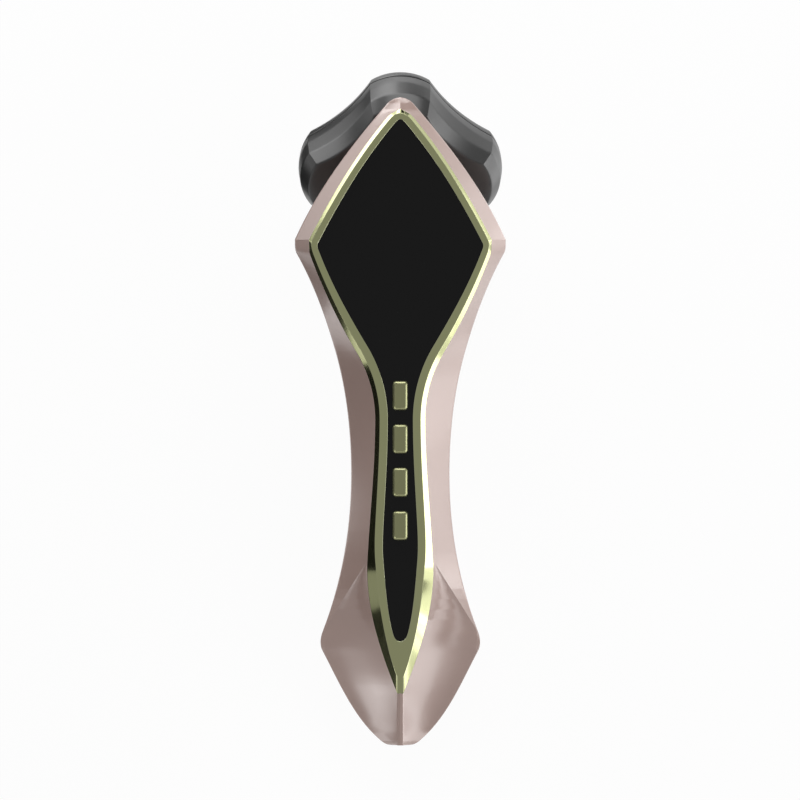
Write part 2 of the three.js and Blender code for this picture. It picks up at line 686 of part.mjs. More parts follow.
// Section of the back half, right-hand side, from the edge round to the middle of the back
function backSection(y, inset, front) {
  const halfWidth = bodyHalfWidth(y) - inset;
  const height = backDepth(y) - inset - front;
  const points = [];
  for (let i = 0; i < BACK_STEPS; i++) {
    const angle = degrees(90 * i / BACK_STEPS);
    const x = halfWidth * Math.cos(angle) ** (2 / BACK_FULLNESS);
    const z = height * Math.sin(angle) ** (2 / BACK_FULLNESS);
    points.push(new THREE.Vector2(x, -(front + z)));
  }
  return points;
}

const backFront = (y) => edgeDepth(y) + EDGE_STRIP + GAP;

// Where the massage head sits: its own z axis points out of the massage face
const headPlace = new THREE.Matrix4().compose(
  new THREE.Vector3(0, HEAD_Y, -HEAD_DEPTH),
  new THREE.Quaternion().setFromEuler(new THREE.Euler(degrees(HEAD_LEAN), Math.PI, 0)),
  new THREE.Vector3(1, 1, 1),
);
const inHead = (geometry) => geometry.applyMatrix4(headPlace);

const placeOnRing = (ring, angle) => [
  ring * Math.cos(degrees(angle)),
  ring * Math.sin(degrees(angle)),
];
const keyHeights = KEY_NAMES.map((name, i) => KEY_FIRST_Y - i * KEY_PITCH);
const headScrewPlaces = [90, 210, 330].map((angle) => placeOnRing(HEAD_SCREW_RING, angle));
// A screw on either side of the diamond and one in the middle, further down
const threePlaces = (inset, sideY, middleY) => [
  [inset - DIAMOND_HALF_WIDTH, sideY],
  [DIAMOND_HALF_WIDTH - inset, sideY],
  [0, middleY],
];
const shellScrewPlaces = threePlaces(
  SHELL_SCREW_INSET,
  DIAMOND_CORNER_Y - SHELL_SCREW_BELOW_CORNER,
  TAIL_CORNER_Y + TAIL_SCREW_ABOVE_CORNER,
);
const boardScrewPlaces = threePlaces(
  BOARD_SCREW_INSET,
  DIAMOND_CORNER_Y + BOARD_SCREW_ABOVE_CORNER,
  FLANK_Y - GRIP_SCREW_BELOW_FLANK,
);

const screwHoleRadius = SCREW_RADIUS + SCREW_CLEARANCE;
const displayHalfWidth = (y) => windowHalfWidth(y) - DISPLAY_MARGIN;

function frontShell() {
  const skin = loft(stations(skinTopY, TAIL_END_Y).map((y) => ringOf(frontSection(y), y)));
  const pocketLine = trace(offsetAll(TRIM_OUTLINE, GAP), OUTLINE_STEPS);
  const pocket = plate(loopOf(pocketLine), -OVERCUT, floorFront);
  const roomStations = stations(ROOM_TOP_Y, ROOM_END_Y, ROOM_STATION_GAP);
  const room = loft(roomStations.map((y) => ringOf(frontRoomSection(y), y)));
  const throughFloor = (loop) => plate(loop, floorFront - OVERCUT, floorBack + OVERCUT);
  const displayWindow = throughFloor(
    loopBetween((y) => displayHalfWidth(y) + GAP, DISPLAY_TOP_Y + GAP, DISPLAY_END_Y - GAP),
  );
  const margin = 2 * (KEY_FLANGE + KEY_OPENING_MARGIN);
  const keyWindows = keyHeights.map((y) => (
    throughFloor(roundedLoop(KEY_WIDTH + margin, KEY_LENGTH + margin, KEY_ROUND, 0, y))
  ));
  const bossTop = -floorFront - BOSS_ROOT;
  const shellBosses = shellScrewPlaces.map(([x, y]) => (
    rod(BOSS_RADIUS, -(edgeDepth(y) + EDGE_STRIP), bossTop).translate(x, y, 0)
  ));
  const boardBosses = rodsAt(boardScrewPlaces, BOARD_BOSS_RADIUS, -(BOARD_DEPTH - GAP), bossTop);
  const allPlaces = [...shellScrewPlaces, ...boardScrewPlaces];
  const drills = rodsAt(allPlaces, screwHoleRadius, -THROUGH, -floorFront - SCREW_TIP_ROOM);
  const hollow = carve([skin], [pocket, room, displayWindow, ...keyWindows]);
  return carve([hollow, ...shellBosses, ...boardBosses], drills);
}

function rearShell() {
  const skin = loft(stations(skinTopY, TAIL_END_Y).map((y) => (
    ringOf(backSection(y, 0, backFront(y)), y)
  )));
  const neckEnd = COLLAR_THICKNESS + 2 * GAP;
  const neck = neckBetween(NECK_ROOT_RADIUS, NECK_RADIUS, -neckEnd, NECK_ROOT_DEPTH);
  const bore = neckBetween(
    NECK_ROOT_RADIUS - NECK_WALL,
    NECK_RADIUS - NECK_WALL,
    -(neckEnd + NECK_FLANGE),
    NECK_ROOT_DEPTH - OVERCUT,
  );
  const [highest, lowest] = [ROOM_TOP_Y + REAR_ROOM_LONGER, ROOM_END_Y - REAR_ROOM_LONGER];
  const room = loft(stations(highest, lowest, ROOM_STATION_GAP).map((y) => {
    const section = backSection(y, WALL, backFront(y));
    section.unshift(new THREE.Vector2(section[0].x, -(backFront(y) - OVERCUT)));
    return ringOf(section, y);
  }));
  const bosses = shellScrewPlaces.map(([x, y]) => {
    const radius = SCREW_HEAD_RADIUS + GAP + WALL;
    const post = rod(radius, -THROUGH, -backFront(y)).translate(x, y, 0);
    return geometryOf(solid(post).intersect(solid(skin)));
  });
  const drills = rodsAt(shellScrewPlaces, screwHoleRadius, -THROUGH, 0);
  const headWells = rodsAt(shellScrewPlaces, SCREW_HEAD_RADIUS + GAP, -THROUGH, -SHELL_SCREW_DEPTH);
  const flangeBack = -(neckEnd + NECK_FLANGE + OVERCUT);
  const headDrills = rodsAt(headScrewPlaces, screwHoleRadius, flangeBack, 0).map(inHead);
  const wireHole = inHead(rod(WIRE_HOLE_RADIUS, -HEAD_DEPTH / 2, 0));
  const socketSlot = inSocket(plate(
    roundedLoop(SOCKET_WIDTH + 2 * GAP, SOCKET_HEIGHT + 2 * GAP, SOCKET_HEIGHT / 2),
    -SOCKET_LENGTH,
    SOCKET_LENGTH,
  ));
  const hollow = carve([skin, neck], [room, bore]);
  const cuts = [...drills, ...headWells, ...headDrills, wireHole, socketSlot];
  return carve([hollow, ...bosses], cuts);
}

// Skewed tube from a flat circle inside the body to a circle that lies along the head
function neckBetween(rootRadius, endRadius, endHeight, rootDepth) {
  const steps = 28;
  const root = [];
  const end = [];
  for (let i = 0; i < steps; i++) {
    const angle = 2 * Math.PI * i / steps;
    const [s, c] = [Math.sin(angle), Math.cos(angle)];
    root.push(new THREE.Vector3(rootRadius * s, NECK_ROOT_Y + rootRadius * c, -rootDepth));
    end.push(new THREE.Vector3(-endRadius * s, endRadius * c, endHeight).applyMatrix4(headPlace));
  }
  return loft([root, end]);
}

function bezel() {
  const loopAlong = (outline) => loopOf(trace(outline, OUTLINE_STEPS));
  const ring = (outline, depthAt) => (
    loopAlong(outline).map((p) => new THREE.Vector3(p.x, p.y, -depthAt(p.y)))
  );
  const block = loft([
    ring(TRIM_OUTLINE, () => trimDepth),
    ring(TRIM_OUTLINE, bevelDepth),
    ring(matchedBand(), () => 0),
  ]);
  const opening = plate(loopAlong(WINDOW_OUTLINE), -OVERCUT, windowBack + WINDOW_SEAT);
  const through = plate(loopAlong(offsetAll(WINDOW_OUTLINE, -LIP_WIDTH)), -OVERCUT, trimDepth + OVERCUT);
  return carve([block], [opening, through]);
}

// Band outline with as many places as the trim's outline, so the bevel between them runs true
function matchedBand() {
  return [...BAND_OUTLINE.slice(0, GRIP_PLACES), ...BAND_OUTLINE.slice(-2)];
}

function frontPanel() {
  const line = trace(offsetAll(WINDOW_OUTLINE, -SEAT_CLEARANCE), OUTLINE_STEPS);
  const [width, length] = [KEY_WIDTH + 2 * KEY_CLEARANCE, KEY_LENGTH + 2 * KEY_CLEARANCE];
  const holes = keyHeights.map((y) => roundedLoop(width, length, KEY_ROUND + KEY_CLEARANCE, 0, y));
  return plate(loopOf(line), WINDOW_RECESS, windowBack, holes);
}

function displayModule() {
  const loop = loopBetween(displayHalfWidth, DISPLAY_TOP_Y, DISPLAY_END_Y);
  return plate(loop, windowBack + GAP, BOARD_DEPTH - GAP);
}

const keyFlangeFront = windowBack + GAP;
const keyFlangeBack = keyFlangeFront + KEY_FLANGE_THICKNESS;

// Key cap with a chamfered rim, its flange under the window and a foot that reaches the switch
function key(y) {
  const level = (grow, depth) => roundedLoop(KEY_WIDTH + 2 * grow, KEY_LENGTH + 2 * grow, KEY_ROUND, 0, y)
    .map((p) => new THREE.Vector3(p.x, p.y, -depth));
  return loft([
    level(KEY_FLANGE, keyFlangeBack),
    level(KEY_FLANGE, keyFlangeFront),
    level(0, keyFlangeFront),
    level(0, -(KEY_HEIGHT - KEY_CHAMFER)),
    level(-KEY_CHAMFER, -KEY_HEIGHT),
  ]);
}

const plungerFront = keyFlangeBack + SEAT_CLEARANCE;
const plungerBack = plungerFront + PLUNGER_LENGTH;
const switchFront = plungerFront + KEY_TRAVEL + GAP;

function plunger(y) {
  return rod(PLUNGER_RADIUS, -plungerBack, -plungerFront, 16).translate(0, y, 0);
}

function keySwitch(y) {
  const loop = roundedLoop(SWITCH_SIZE, SWITCH_SIZE, SWITCH_ROUND, 0, y);
  const body = plate(loop, switchFront, BOARD_DEPTH - SWITCH_SEAT);
  const well = rod(PLUNGER_RADIUS + SEAT_CLEARANCE, -(plungerBack + KEY_TRAVEL + SWITCH_SEAT), 0, 16);
  return carve([body], [well.translate(0, y, 0)]);
}

function controlBoard() {
  const halfWidth = (y) => roomHalfWidth(y, BOARD_DEPTH) - 2 * GAP;
  const board = plate(loopBetween(halfWidth, BOARD_TOP_Y, BOARD_END_Y), BOARD_DEPTH, boardBack);
  const cuts = rodsAt(shellScrewPlaces, BOSS_RADIUS + GAP, -THROUGH, 0);
  const holes = rodsAt(boardScrewPlaces, screwHoleRadius, -THROUGH, 0);
  return carve([board], [...cuts, ...holes]);
}

// Screw whose head faces down and whose shank points up, from under its head to its tip
function screw(seat, tip) {
  return turned([
    [0, seat - SCREW_HEAD_HEIGHT],
    [SCREW_CROWN_RADIUS, seat - SCREW_HEAD_HEIGHT],
    [SCREW_HEAD_RADIUS, seat - SCREW_RIM_HEIGHT],
    [SCREW_HEAD_RADIUS, seat],
    [SCREW_RADIUS, seat],
    [SCREW_RADIUS, tip],
    [0, tip],
  ], 10);
}

const batteryDepth = boardBack + STRAP_THICKNESS + 2 * GAP + BATTERY_RADIUS;
const batteryMiddle = BATTERY_TOP_Y - BATTERY_LENGTH / 2;

// Cell along y with a raised contact at its upper end
function battery() {
  const half = BATTERY_LENGTH / 2;
  const shoulder = half - BATTERY_CONTACT_HEIGHT;
  return turned([
    [0, -half],
    [BATTERY_RADIUS - BATTERY_EDGE, -half],
    [BATTERY_RADIUS, -half + BATTERY_EDGE],
    [BATTERY_RADIUS, shoulder - BATTERY_SHOULDER],
    [BATTERY_RADIUS - BATTERY_SHOULDER, shoulder],
    [BATTERY_CONTACT_RADIUS, shoulder],
    [BATTERY_CONTACT_RADIUS, half],
    [0, half],
  ]).rotateX(-Math.PI / 2).translate(0, batteryMiddle, -batteryDepth);
}

// Strap that goes round the cell and holds it to the board
function batteryStrap() {
  const inner = BATTERY_RADIUS + SEAT_CLEARANCE;
  const outer = inner + STRAP_THICKNESS;
  const shape = new THREE.Shape(circleLoop(outer));
  shape.holes.push(new THREE.Path(circleLoop(inner)));
  const geometry = new THREE.ExtrudeGeometry(shape, { depth: STRAP_WIDTH, bevelEnabled: false });
  return closed(geometry.translate(0, 0, -STRAP_WIDTH / 2).rotateX(Math.PI / 2)
    .translate(0, batteryMiddle, -batteryDepth));
}

// Sounder on the back of the board, with its sound hole
function buzzer() {
  return turned([
    [0, -(BUZZER_HEIGHT - BUZZER_HOLE_DEPTH)],
    [BUZZER_HOLE_RADIUS, -(BUZZER_HEIGHT - BUZZER_HOLE_DEPTH)],
    [BUZZER_HOLE_RADIUS, -BUZZER_HEIGHT],
    [BUZZER_RADIUS, -BUZZER_HEIGHT],
    [BUZZER_RADIUS, 0],
    [0, 0],
  ]).translate(BUZZER_X, DIAMOND_CORNER_Y, -(boardBack + SEAT_CLEARANCE));
}

function controllerChip() {
  const loop = roundedLoop(CHIP_SIZE, CHIP_SIZE, CHIP_ROUND, CHIP_X, DIAMOND_CORNER_Y, 2);
  const front = boardBack + SEAT_CLEARANCE;
  return plate(loop, front, front + CHIP_HEIGHT);
}

// The socket looks out square to the back of the tail, its mouth flush with the shell
function inSocket(geometry) {
  const slope = (backDepth(SOCKET_Y + 1) - backDepth(SOCKET_Y - 1)) / 2;
  return geometry.translate(0, 0, SOCKET_LENGTH / 2 + SOCKET_SINK).rotateX(-Math.atan(slope))
    .translate(0, SOCKET_Y, -backDepth(SOCKET_Y));
}

// Shell with round ends, open at its mouth, and the tongue inside it
function chargingSocket() {
  const [back, mouth] = [-SOCKET_LENGTH / 2, SOCKET_LENGTH / 2];
  const pill = (width, height) => roundedLoop(width, height, height / 2 - POINT_GAP);
  const outer = plate(pill(SOCKET_WIDTH, SOCKET_HEIGHT), back, mouth);
  const inner = pill(SOCKET_WIDTH - 2 * SOCKET_WALL, SOCKET_HEIGHT - 2 * SOCKET_WALL);
  const opening = plate(inner, -mouth + SOCKET_BACK_WALL, mouth + OVERCUT);
  const tongueLoop = roundedLoop(SOCKET_TONGUE_WIDTH, SOCKET_TONGUE_THICKNESS, SOCKET_TONGUE_ROUND);
  const tongue = plate(tongueLoop, back, mouth - SOCKET_TONGUE_SINK);
  return inSocket(geometryOf(solid(outer).subtract(solid(opening)).add(solid(tongue))));
}

// Four round lobes joined by hollow sides, as a ring at a height above the near face
function lobedRing(radius, height, hollow = LOBE_HOLLOW) {
  const arcSteps = 4;
  const sideSteps = 4;
  const corner = (angle) => new THREE.Vector2(Math.cos(angle), Math.sin(angle)).multiplyScalar(radius);
  const reach = degrees(LOBE_HALF_ANGLE);
  const points = [];
  for (let lobe = 0; lobe < 4; lobe++) {
    const middle = degrees(90 * lobe);
    for (let i = 0; i < arcSteps; i++) points.push(corner(middle - reach + 2 * reach * i / arcSteps));
    const from = corner(middle + reach);
    const to = corner(middle + Math.PI / 2 - reach);
    const inwards = from.clone().add(to).normalize().negate();
    for (let i = 0; i < sideSteps; i++) {
      const share = i / sideSteps;
      points.push(from.clone().lerp(to, share).addScaledVector(inwards, arch(hollow, share)));
    }
  }
  return points.map((p) => new THREE.Vector3(p.x, p.y, height));
}

function headHousing() {
  const skin = loft([
    lobedRing(HEAD_NEAR_RADIUS, 0, LOBE_HOLLOW_NEAR),
    lobedRing(HEAD_SHOULDER_RADIUS, HEAD_SHOULDER_RISE),
    lobedRing(HEAD_RADIUS, HEAD_WIDEST_HEIGHT, LOBE_HOLLOW_FACE),
    lobedRing(HEAD_SEAM_RADIUS, HEAD_SEAM_HEIGHT, LOBE_HOLLOW_FACE),
  ]);
  const room = loft([
    lobedRing(HEAD_NEAR_RADIUS - HEAD_WALL, HEAD_WALL),
    lobedRing(HEAD_SHOULDER_RADIUS - HEAD_WALL, HEAD_SHOULDER_RISE),
    lobedRing(HEAD_RADIUS - HEAD_WALL, HEAD_WIDEST_HEIGHT),
    lobedRing(HEAD_RADIUS - HEAD_WALL, HEAD_SEAM_HEIGHT + OVERCUT),
  ]);
  const bossFoot = HEAD_WALL - BOSS_ROOT;
  const bosses = rodsAt(headScrewPlaces, BOSS_RADIUS, bossFoot, HEAD_WALL + HEAD_BOSS_HEIGHT);
  const drillEnd = HEAD_WALL + HEAD_BOSS_HEIGHT - BOSS_ROOT;
  const drills = rodsAt(headScrewPlaces, screwHoleRadius, -OVERCUT, drillEnd);
  const wireHole = rod(WIRE_HOLE_RADIUS, -OVERCUT, HEAD_WALL + OVERCUT);
  const hollow = carve([skin], [room, wireHole]);
  return carve([hollow, ...bosses], drills);
}

function neckCollar() {
  const [back, front] = [-(COLLAR_THICKNESS + GAP), -GAP];
  const disc = rod(NECK_RADIUS + COLLAR_STAND, back, front, 24);
  const drills = rodsAt(headScrewPlaces, screwHoleRadius, back - OVERCUT, front + OVERCUT);
  return carve([disc], [rod(WIRE_HOLE_RADIUS, back - OVERCUT, front + OVERCUT), ...drills]);
}

function headScrew([x, y]) {
  const seat = -(COLLAR_THICKNESS + 2 * GAP + NECK_FLANGE + SEAT_CLEARANCE);
  return screw(seat, HEAD_WALL + HEAD_BOSS_HEIGHT - BOSS_ROOT - SCREW_TIP_ROOM).translate(x, y, 0);
}

const electrodePlaces = { right: 0, top: 90, left: 180, bottom: 270 };

function facePlate() {
  const seam = HEAD_SEAM_HEIGHT + SEAT_CLEARANCE;
  const skin = loft([
    lobedRing(HEAD_SEAM_RADIUS, seam, LOBE_HOLLOW_FACE),
    lobedRing(HEAD_EDGE_RADIUS, HEAD_EDGE_HEIGHT, LOBE_HOLLOW_FACE),
    lobedRing(HEAD_BEVEL_RADIUS, HEAD_BEVEL_HEIGHT, LOBE_HOLLOW_FACE),
    lobedRing(HEAD_FACE_RADIUS, HEAD_HEIGHT, LOBE_HOLLOW_FACE),
  ]);
  const roomRadius = HEAD_RADIUS - FACE_WALL;
  const room = loft([
    lobedRing(roomRadius, seam - OVERCUT),
    lobedRing(roomRadius, HEAD_EDGE_HEIGHT - FACE_CORNER_WALL),
    lobedRing(HEAD_FACE_RADIUS - FACE_CORNER_WALL, HEAD_HEIGHT - FACE_THICKNESS),
  ]);
  const [low, high] = [HEAD_HEIGHT - FACE_THICKNESS - OVERCUT, HEAD_HEIGHT + OVERCUT];
  const stems = Object.values(electrodePlaces).map((angle) => placeOnRing(ELECTRODE_RING, angle));
  const stemHoles = rodsAt(stems, ELECTRODE_STEM_RADIUS + SEAT_CLEARANCE, low, high);
  return carve([skin], [room, rod(LENS_RADIUS + SEAT_CLEARANCE, low, high, 24), ...stemHoles]);
}

// Quarter of an ellipse from a rim up to the axis, for a turned dome
function domeProfile(radius, base, rise, steps) {
  const points = [];
  for (let i = 0; i <= steps; i++) {
    const angle = degrees(90 * i / steps);
    points.push([i === steps ? 0 : radius * Math.cos(angle), base + rise * Math.sin(angle)]);
  }
  return points;
}

// Polished dome with a stem through the face plate
function electrode(angle) {
  const [x, y] = placeOnRing(ELECTRODE_RING, angle);
  const seat = HEAD_HEIGHT + SEAT_CLEARANCE;
  const stemEnd = HEAD_HEIGHT - FACE_THICKNESS - ELECTRODE_STEM_INSIDE;
  return turned([
    [0, stemEnd],
    [ELECTRODE_STEM_RADIUS, stemEnd],
    [ELECTRODE_STEM_RADIUS, seat],
    [ELECTRODE_RADIUS, seat],
    ...domeProfile(ELECTRODE_RADIUS, seat + ELECTRODE_RIM, ELECTRODE_DOME - ELECTRODE_RIM, 4),
  ]).translate(x, y, 0);
}

const lensFlangeTop = HEAD_HEIGHT - FACE_THICKNESS - GAP;
const lensBack = lensFlangeTop - LENS_FLANGE_THICKNESS;

function lightLens() {
  return turned([
    [0, lensBack],
    [LENS_RADIUS + LENS_FLANGE, lensBack],
    [LENS_RADIUS + LENS_FLANGE, lensFlangeTop],
    [LENS_RADIUS, lensFlangeTop],
    ...domeProfile(LENS_RADIUS, HEAD_HEIGHT + LENS_STAND, LENS_DOME, 3),
  ], 24);
}

function lightBoard() {
  const front = lensBack - GAP;
  return rod(LENS_RADIUS + LENS_FLANGE + LAMP_BOARD_MARGIN, front - LAMP_BOARD_THICKNESS, front, 24);
}

const motorHeight = HEAD_WALL + GAP + MOTOR_RADIUS;
const motorEnd = MOTOR_LENGTH / 2 - MOTOR_SHIFT;

// Turned part that lies along the head's x axis at the motor's place
function onMotorAxis(geometry) {
  return geometry.rotateY(Math.PI / 2).translate(0, -MOTOR_OFFSET, motorHeight);
}

// Can with a bearing nose, bored for the shaft
function motorCan() {
  const bearing = SHAFT_RADIUS + BEARING_CLEARANCE;
  const tail = motorEnd - MOTOR_LENGTH;
  return onMotorAxis(turned([
    [0, tail],
    [MOTOR_RADIUS - MOTOR_EDGE, tail],
    [MOTOR_RADIUS, tail + MOTOR_EDGE],
    [MOTOR_RADIUS, motorEnd - MOTOR_NOSE_LENGTH],
    [MOTOR_NOSE_RADIUS, motorEnd - MOTOR_NOSE_LENGTH],
    [MOTOR_NOSE_RADIUS, motorEnd],
    [bearing, motorEnd],
    [bearing, motorEnd - SHAFT_INSIDE - GAP],
    [0, motorEnd - SHAFT_INSIDE - GAP],
  ], 20));
}

function motorShaft() {
  return onMotorAxis(rod(SHAFT_RADIUS, motorEnd - SHAFT_INSIDE, motorEnd + SHAFT_OUTSIDE));
}

// Half disc whose heavy side swings round the shaft
function motorWeight() {
  const start = motorEnd + GAP;
  const profile = new THREE.Shape();
  profile.absarc(0, 0, WEIGHT_RADIUS, Math.PI, 2 * Math.PI);
  profile.absarc(0, 0, WEIGHT_HUB_RADIUS, 0, Math.PI);
  const shape = new THREE.Shape(profile.getSpacedPoints(24).slice(0, -1));
  const disc = new THREE.ExtrudeGeometry(shape, { depth: WEIGHT_LENGTH, bevelEnabled: false });
  const boreRadius = SHAFT_RADIUS + PRESS_CLEARANCE;
  const bore = rod(boreRadius, start - OVERCUT, start + WEIGHT_LENGTH + OVERCUT);
  return onMotorAxis(carve([disc.translate(0, 0, start)], [bore]));
}

// Saddle over the motor can, with two feet on the head's near wall
function motorClamp() {
  const inner = MOTOR_RADIUS + SEAT_CLEARANCE;
  const outer = inner + CLAMP_THICKNESS;
  const foot = outer + CLAMP_FOOT;
  const low = -inner;
  const shape = new THREE.Shape();
  shape.moveTo(inner, low);
  shape.lineTo(foot, low);
  shape.lineTo(foot, low + CLAMP_THICKNESS);
  shape.lineTo(outer, low + CLAMP_THICKNESS);
  shape.absarc(0, 0, outer, 0, Math.PI);
  shape.lineTo(-outer, low + CLAMP_THICKNESS);
  shape.lineTo(-foot, low + CLAMP_THICKNESS);
  shape.lineTo(-foot, low);
  shape.lineTo(-inner, low);
  shape.absarc(0, 0, inner, Math.PI, 0, true);
  const settings = { depth: CLAMP_WIDTH, bevelEnabled: false, curveSegments: 12 };
  const across = motorEnd - MOTOR_LENGTH / 2 - CLAMP_WIDTH / 2;
  return closed(new THREE.ExtrudeGeometry(shape, settings).rotateX(Math.PI / 2).rotateZ(Math.PI / 2)
    .translate(across, -MOTOR_OFFSET, motorHeight));
}

function finish(color, roughness, metalness) {
  return new THREE.MeshStandardMaterial({ color, roughness, metalness });
}

const roseGold = finish(0xc3aca5, 0.35, 0.6);
const gold = finish(0x8b8d5e, 0.25, 0.9);
const keyGold = finish(0x767a54, 0.4, 0.8);
const blackGlass = finish(0x1a1a1a, 0.08, 0);
const blackGloss = finish(0x2b2b2b, 0.3, 0.1);
const silver = finish(0xd8d8da, 0.12, 1);
const steel = finish(0x9a9a9c, 0.35, 1);
const boardGreen = finish(0x1f5a38, 0.6, 0);
const paleLens = finish(0xf2e6e0, 0.2, 0);
const darkPlastic = finish(0x303030, 0.55, 0);
const softGrey = finish(0x5b5b5b, 0.8, 0);
const cellBlue = finish(0x3b6e8c, 0.45, 0);

const device = new THREE.Group();
const head = new THREE.Group();
head.position.set(0, HEAD_Y, -HEAD_DEPTH);
head.rotation.set(degrees(HEAD_LEAN), Math.PI, 0);
device.add(head);

function add(group, name, geometry, material) {
  const mesh = new THREE.Mesh(geometry, material);
  mesh.name = name;
  group.add(mesh);
}

add(device, 'front_shell', frontShell(), roseGold);
add(device, 'rear_shell', rearShell(), roseGold);
add(device, 'bezel', bezel(), gold);
add(device, 'front_panel', frontPanel(), blackGlass);
add(device, 'display_module', displayModule(), darkPlastic);
add(device, 'control_board', controlBoard(), boardGreen);
KEY_NAMES.forEach((name, i) => {
  add(device, `${name}_button`, key(keyHeights[i]), keyGold);
  add(device, `${name}_plunger`, plunger(keyHeights[i]), darkPlastic);
  add(device, `${name}_switch`, keySwitch(keyHeights[i]), steel);
});
add(device, 'battery', battery(), cellBlue);
add(device, 'battery_strap', batteryStrap(), softGrey);
add(device, 'buzzer', buzzer(), darkPlastic);
add(device, 'controller_chip', controllerChip(), darkPlastic);
add(device, 'charging_socket', chargingSocket(), steel);
shellScrewPlaces.forEach(([x, y], i) => {
  const geometry = screw(-SHELL_SCREW_DEPTH, -(floorBack + SCREW_TIP_ROOM)).translate(x, y, 0);
  add(device, `shell_screw_${i + 1}`, geometry, steel);
});
boardScrewPlaces.forEach(([x, y], i) => {
  const tip = -(floorFront + BOSS_ROOT + SCREW_TIP_ROOM);
  const geometry = screw(-(boardBack + SEAT_CLEARANCE), tip).translate(x, y, 0);
  add(device, `board_screw_${i + 1}`, geometry, steel);
});

add(head, 'head_housing', headHousing(), blackGloss);
add(head, 'neck_collar', neckCollar(), softGrey);
headScrewPlaces.forEach((place, i) => add(head, `head_screw_${i + 1}`, headScrew(place), steel));
add(head, 'face_plate', facePlate(), blackGloss);
Object.entries(electrodePlaces).forEach(([side, angle]) => {
  add(head, `electrode_${side}`, electrode(angle), silver);
});
add(head, 'light_lens', lightLens(), paleLens);
add(head, 'light_board', lightBoard(), boardGreen);
add(head, 'motor_can', motorCan(), steel);
add(head, 'motor_shaft', motorShaft(), steel);
add(head, 'motor_weight', motorWeight(), steel);
add(head, 'motor_clamp', motorClamp(), steel);

// Side view of every corner of the device, for finding how it lies on its back
function sideView(group) {
  group.updateMatrixWorld(true);
  const points = [];
  group.traverse((mesh) => {
    if (!mesh.isMesh) return;
    const place = mesh.geometry.attributes.position;
    for (let i = 0; i < place.count; i++) {
      const corner = new THREE.Vector3().fromBufferAttribute(place, i).applyMatrix4(mesh.matrixWorld);
      points.push(new THREE.Vector2(corner.y, corner.z));
    }
  });
  return points.sort((a, b) => a.x - b.x || a.y - b.y);
}

// Lean of the line that the device rests on: the lowest line under the middle of its length
function restingLean(points) {
  const under = [];
  const turnAt = (a, b, c) => (b.x - a.x) * (c.y - a.y) - (b.y - a.y) * (c.x - a.x);
  for (const point of points) {
    while (under.length > 1 && turnAt(under.at(-2), under.at(-1), point) <= 0) under.pop();
    under.push(point);
  }
  const middle = (BODY_TOP + TAIL_END_Y) / 2;
  const i = under.findIndex((point, k) => point.x <= middle && under[k + 1].x > middle);
  return Math.atan2(under[i + 1].y - under[i].y, under[i + 1].x - under[i].x);
}

device.rotation.x = -restingLean(sideView(device));

const massager = new THREE.Group();
massager.add(device);
massager.updateMatrixWorld(true);
const box = new THREE.Box3().setFromObject(massager, true);
device.position.set(0, -(box.min.y + box.max.y) / 2, -box.min.z);

export default massager;
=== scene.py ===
import json
import math
from types import SimpleNamespace

import bmesh
import bpy
from mathutils import Matrix, Vector
from mathutils.geometry import tessellate_polygon


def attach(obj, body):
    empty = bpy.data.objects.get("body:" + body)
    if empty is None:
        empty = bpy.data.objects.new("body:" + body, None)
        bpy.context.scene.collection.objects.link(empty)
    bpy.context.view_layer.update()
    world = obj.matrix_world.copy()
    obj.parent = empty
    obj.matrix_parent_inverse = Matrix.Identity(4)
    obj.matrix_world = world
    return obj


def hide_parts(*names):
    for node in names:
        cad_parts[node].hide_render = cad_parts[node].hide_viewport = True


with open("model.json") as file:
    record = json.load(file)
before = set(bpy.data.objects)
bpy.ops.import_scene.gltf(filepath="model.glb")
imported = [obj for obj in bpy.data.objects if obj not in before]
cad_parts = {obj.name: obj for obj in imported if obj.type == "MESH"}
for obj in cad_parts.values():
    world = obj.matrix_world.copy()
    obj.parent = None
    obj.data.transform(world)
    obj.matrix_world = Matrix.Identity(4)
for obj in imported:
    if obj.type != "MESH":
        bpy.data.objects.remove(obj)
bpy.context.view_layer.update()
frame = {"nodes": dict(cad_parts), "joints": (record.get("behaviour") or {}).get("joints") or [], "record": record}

bl_info = {
    "name": "Facial Massager",
    "version": (1, 0, 0),
    "blender": (4, 5, 0),
    "location": "3D View > Sidebar > Massager",
    "description": "Dresses a facial massager in fine surfaces and finishes, in a small studio",
    "category": "Object",
}

# The massager is drawn in its own axes, in millimetres: x to the right, y towards the head and
# z out of the flat front, which is the plane z = 0. PLACE lays it in the frame, in metres.
METRES_PER_MM = 0.001
WINDOW_POINT = Vector((0, 66, -0.2))
RIGHT = Vector((1, 0, 0))


def device_place():
    """Finds how the massager lies from a key's press and from the window's place."""
    press = next(joint["axis"] for joint in frame["joints"] if joint["name"] == "power_press")
    window = next(m["pos_m"] for m in frame["record"]["mounts"] if m["name"] == "display_face")
    out = -Vector(press).normalized()
    turn = Matrix((RIGHT, out.cross(RIGHT), out)).transposed()
    origin = Vector(window) - turn @ WINDOW_POINT * METRES_PER_MM
    return Matrix.Translation(origin) @ turn.to_4x4() @ Matrix.Scale(METRES_PER_MM, 4)


PLACE = device_place()
TURN = PLACE.to_quaternion().to_matrix().to_4x4()

